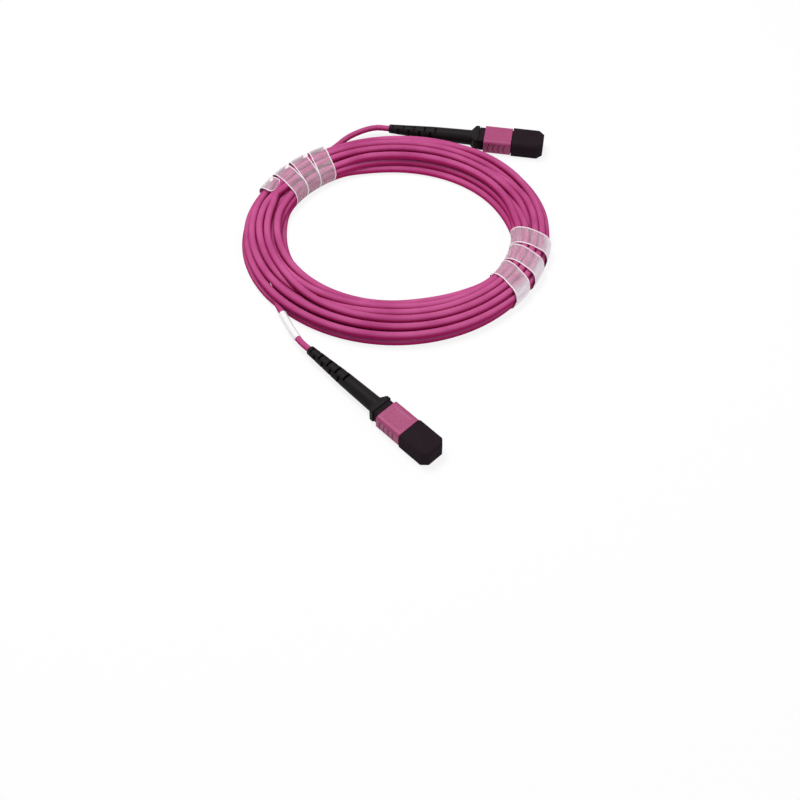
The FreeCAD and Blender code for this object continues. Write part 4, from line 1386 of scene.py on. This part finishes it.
    def build(self) -> bpy.types.Object:
        """Lofts the boot.

        Returns:
            The boot.
        """
        angle = round_angles(self.sides)
        points = self.axes.loft(self.rows(angle), angle)
        tag = self.axes.tag.value
        piece = GridMesh(points, loop_rows=True).build(f"strain_boot_slotted_{tag}", self.sharp)
        RUBBER.dress(piece)
        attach(piece, "cable")
        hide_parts(f"strain_boot_{tag}")
        return piece


@dataclass
class GuidePins:
    """Bright sleeves over the ferrule's two guide pins, with rounded tips."""

    axes: PlugAxes
    radius: float = 0.36 * MM
    pitch: float = 4.6 * MM
    length: float = 2.0 * MM
    cover: float = 0.02 * MM
    tip_length: float = 0.4
    tip_turn: float = 1.5
    tip_rings: int = 6
    sides: int = 20

    def build(self) -> list[bpy.types.Object]:
        """Makes both pins.

        Returns:
            The pins.
        """
        tip = self.axes.span("ferrule")[1][0] + self.cover
        rows = [(tip - self.length, self.radius)]
        for turn in np.linspace(0.0, self.tip_turn, self.tip_rings):
            back = self.tip_length * self.radius * (1.0 - math.sin(turn))
            rows.append((tip - back, self.radius * math.cos(turn)))
        tag = self.axes.tag.value
        pins = []
        for name, side in (("right", -0.5), ("left", 0.5)):
            rings = self.axes.loft(rows, round_angles(self.sides), side * self.pitch)
            pin = GridMesh(rings, capped=True).build(f"guide_pin_{tag}_{name}")
            STEEL.dress(pin)
            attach(pin, f"ferrule_{tag}")
            pins.append(pin)
        return pins


@dataclass
class WoundSpring:
    """A round-wire coil spring with closed ends."""

    axes: PlugAxes
    stem: str
    joint: str
    turns: float
    wire: float
    closed: float = 0.8
    slack: float = 0.02 * MM
    per_turn: int = 28
    sides: int = 10

    def build(self) -> bpy.types.Object:
        """Winds the wire where the spring's solid is.

        Returns:
            The spring.
        """
        axes = self.axes
        low, high = axes.span(self.stem)
        middle = (low + high) / 2.0
        radius = (high[2] - low[2] - self.wire) / 2.0
        turn = np.linspace(0.0, self.turns, round(self.turns * self.per_turn) + 1)
        share = np.clip((turn - self.closed) / (self.turns - 2.0 * self.closed), 0.0, 1.0)
        along = low[0] + self.wire / 2.0 + (high[0] - low[0] - self.wire) * share
        section = round_angles(self.sides)
        reach = radius + self.wire / 2.0 * np.cos(section)[None, :]
        angle = FULL_TURN * turn[:, None]
        points = axes.put(along[:, None] + self.wire / 2.0 * np.sin(section)[None, :],
                          middle[1] + reach * np.cos(angle), middle[2] + reach * np.sin(angle))
        tag = axes.tag.value
        piece = GridMesh(points, capped=True).build(f"{self.stem}_wire_{tag}")
        STEEL.dress(piece)
        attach(piece, "cable")
        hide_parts(f"{self.stem}_{tag}")
        travel = joint_row(self.joint)["range_m"][1]
        length = high[0] - low[0]
        anchor = axes.put(low[0], middle[1], middle[2])
        (length - travel - self.slack) / length
        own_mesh(piece)
        return piece


@dataclass
class Plug:
    """One end of the cable: its modelled pieces and the solids that it keeps."""

    axes: PlugAxes
    weld_reach: float = 0.002 * MM
    bevel_angle: float = math.radians(28.0)
    bevel_segments: int = 3
    coupling_wire: float = 0.24 * MM
    coupling_turns: float = 6.0
    ferrule_wire: float = 0.4 * MM
    ferrule_turns: float = 4.5

    def carry(self) -> list[bpy.types.Object]:
        """Rounds and dresses the solids that stay.

        Returns:
            The solids.
        """
        kept = []
        for stem, finish in CARRIED.items():
            node = frame["nodes"][f"{stem}_{self.axes.tag.value}"]
            if not node.material_slots:
                node.data.materials.append(None)
            for held in node.material_slots:
                held.material = finish.material()
            if stem in ROUNDED:
                weld = node.modifiers.new("weld", "WELD")
                weld.merge_threshold = self.weld_reach
                bevel = node.modifiers.new("rounding", "BEVEL")
                bevel.width = ROUNDED[stem]
                bevel.segments = self.bevel_segments
                bevel.limit_method = "ANGLE"
                bevel.angle_limit = self.bevel_angle
            kept.append(node)
        return kept

    def build(self) -> list[bpy.types.Object]:
        """Builds every piece of the plug.

        Returns:
            The modelled pieces and the kept solids.
        """
        made = [OuterHousing(self.axes).build(), StrainBoot(self.axes).build()]
        made += GuidePins(self.axes).build()
        made += [spring.build() for spring in self.springs()]
        return made + self.carry()

    def springs(self) -> list[WoundSpring]:
        """The springs of the coupling and the ferrule.

        Returns:
            The two coupling springs and the ferrule's spring.
        """
        tag = self.axes.tag.value
        found = [WoundSpring(self.axes, f"coupling_spring_{side}", f"outer_housing_{tag}_pull_back",
                             self.coupling_turns, self.coupling_wire) for side in ("left", "right")]
        return found + [WoundSpring(self.axes, "ferrule_spring", f"ferrule_{tag}_float",
                                    self.ferrule_turns, self.ferrule_wire)]


@dataclass
class Studio:
    """Pale floor, soft light and the photograph's camera."""

    target: Triple = (0.001226, -0.065871, 0.0)
    distance: float = 0.551
    elevation: float = math.radians(54.0)
    lens: float = 58.5
    sensor: float = 36.0
    near: float = 0.01
    floor_half: float = 3.0
    floor_drop: float = 0.02 * MM
    floor_colour: tuple[float, ...] = (0.93, 0.925, 0.93, 1.0)
    floor_glow: float = 0.85
    world_light: float = 0.28
    bright: tuple[float, ...] = (1.0, 1.0, 1.0, 1.0)

    def camera(self) -> None:
        """Places the camera at the photograph's angle."""
        lens = bpy.data.cameras.new("camera")
        lens.lens = self.lens
        lens.sensor_width = self.sensor
        lens.clip_start = self.near
        holder = linked("camera", lens)
        back = self.distance * math.cos(self.elevation)
        up = self.distance * math.sin(self.elevation)
        holder.location = (self.target[0], self.target[1] - back, self.target[2] + up)
        holder.rotation_euler = (math.pi / 2.0 - self.elevation, 0.0, 0.0)
        bpy.context.scene.camera = holder

    def seen(self, graph: Graph) -> Value:
        """1 for rays that show the background: from the camera, a gloss or through clear film."""
        camera, gloss, through = (graph.add("ShaderNodeLightPath", None, None, f"Is {name} Ray")
                                  for name in ("Camera", "Glossy", "Transmission"))
        return (camera + gloss + through).under(1.0)

    def floor(self) -> None:
        """A plain pale floor that keeps the object's shadow."""
        half = self.floor_half
        square = ((-half, -half, 0.0), (half, -half, 0.0), (half, half, 0.0), (-half, half, 0.0))
        mesh = bpy.data.meshes.new("floor")
        mesh.from_pydata(square, [], [(0, 1, 2, 3)])
        plane = linked("floor", mesh)
        plane.location.z = -self.floor_drop
        paper = bpy.data.materials.new("floor_paper")
        paper.use_nodes = True
        graph = Graph(paper.node_tree)
        matt = graph.add("ShaderNodeBsdfDiffuse", None, {"Color": self.floor_colour}, "BSDF")
        glow = graph.add("ShaderNodeEmission", None, {"Color": self.bright, "Strength": 1.0}, "Emission")
        share = self.seen(graph) * self.floor_glow
        mixed = graph.add("ShaderNodeMixShader", None, {0: share, 1: matt, 2: glow}, "Shader")
        graph.add("ShaderNodeOutputMaterial", None, {"Surface": mixed}, "Surface")
        mesh.materials.append(paper)

    def sky(self) -> None:
        """Even white surroundings."""
        world = bpy.data.worlds.new("studio")
        world.use_nodes = True
        bpy.context.scene.world = world
        graph = Graph(world.node_tree)
        strength = self.seen(graph) * (1.0 - self.world_light) + self.world_light
        inputs = {"Color": self.bright, "Strength": strength}
        paper = graph.add("ShaderNodeBackground", None, inputs, "Background")
        graph.add("ShaderNodeOutputWorld", None, {"Surface": paper}, "Surface")

    def lamp(self, name: str, place: Sequence[float], size: float, power: float) -> None:
        """A soft lamp that faces the object.

        Args:
            name: The lamp's name.
            place: Where it stands.
            size: Width of its face.
            power: Its power in watts.
        """
        light = bpy.data.lights.new(name, "AREA")
        light.shape = "DISK"
        light.size = size
        light.energy = power
        holder = linked(name, light)
        holder.location = place
        towards = -holder.location.normalized()
        holder.rotation_euler = towards.to_track_quat("-Z", "Y").to_euler()

    def build(self) -> None:
        """Sets up the whole studio."""
        bpy.context.scene.view_settings.view_transform = "Standard"
        self.camera()
        self.floor()
        self.sky()
        self.lamp("key", place=(-0.25, 0.25, 1.0), size=0.5, power=9.2)
        self.lamp("fill", place=(0.7, -0.5, 0.8), size=0.8, power=2.4)


def main() -> None:
    """Builds the studio, the plugs, the cable and the film strips."""
    logging.basicConfig(level=logging.INFO, format="%(message)s")
    Studio().build()
    axes = {tag: PlugAxes.of(tag) for tag in Tag}
    ends = {tag: Plug(axes[tag]).build() for tag in Tag}
    for tag, pieces in ends.items():
        LOG.info("plug %s: %s", tag.value, ", ".join(piece.name for piece in pieces))
    ring = Ring.of_coil(bundle_width=20.4 * MM)
    cable = CableRun(Winding(ring), axes[Tag.FRONT], axes[Tag.BACK])
    jacket = cable.build_jacket()
    LOG.info("jacket %s: %.3f m in the coil and both leads", jacket.name, cable.run[-1])
    LOG.info("marker: %s", cable.build_marker().name)
    strips = (FilmWrap("film_wrap_right", cable, middle=math.radians(-21.8), first_lean=math.radians(268.0),
                       width=10.0 * MM, pitch=12.3 * MM),
              FilmWrap("film_wrap_left", cable, middle=math.radians(138.3), first_lean=math.radians(88.0),
                       width=8.8 * MM, pitch=9.5 * MM, turns=3.4, finish=THIN_FILM))
    for strip in strips:
        LOG.info("film: %s", strip.build().name)


if __name__ == "__main__":
    main()
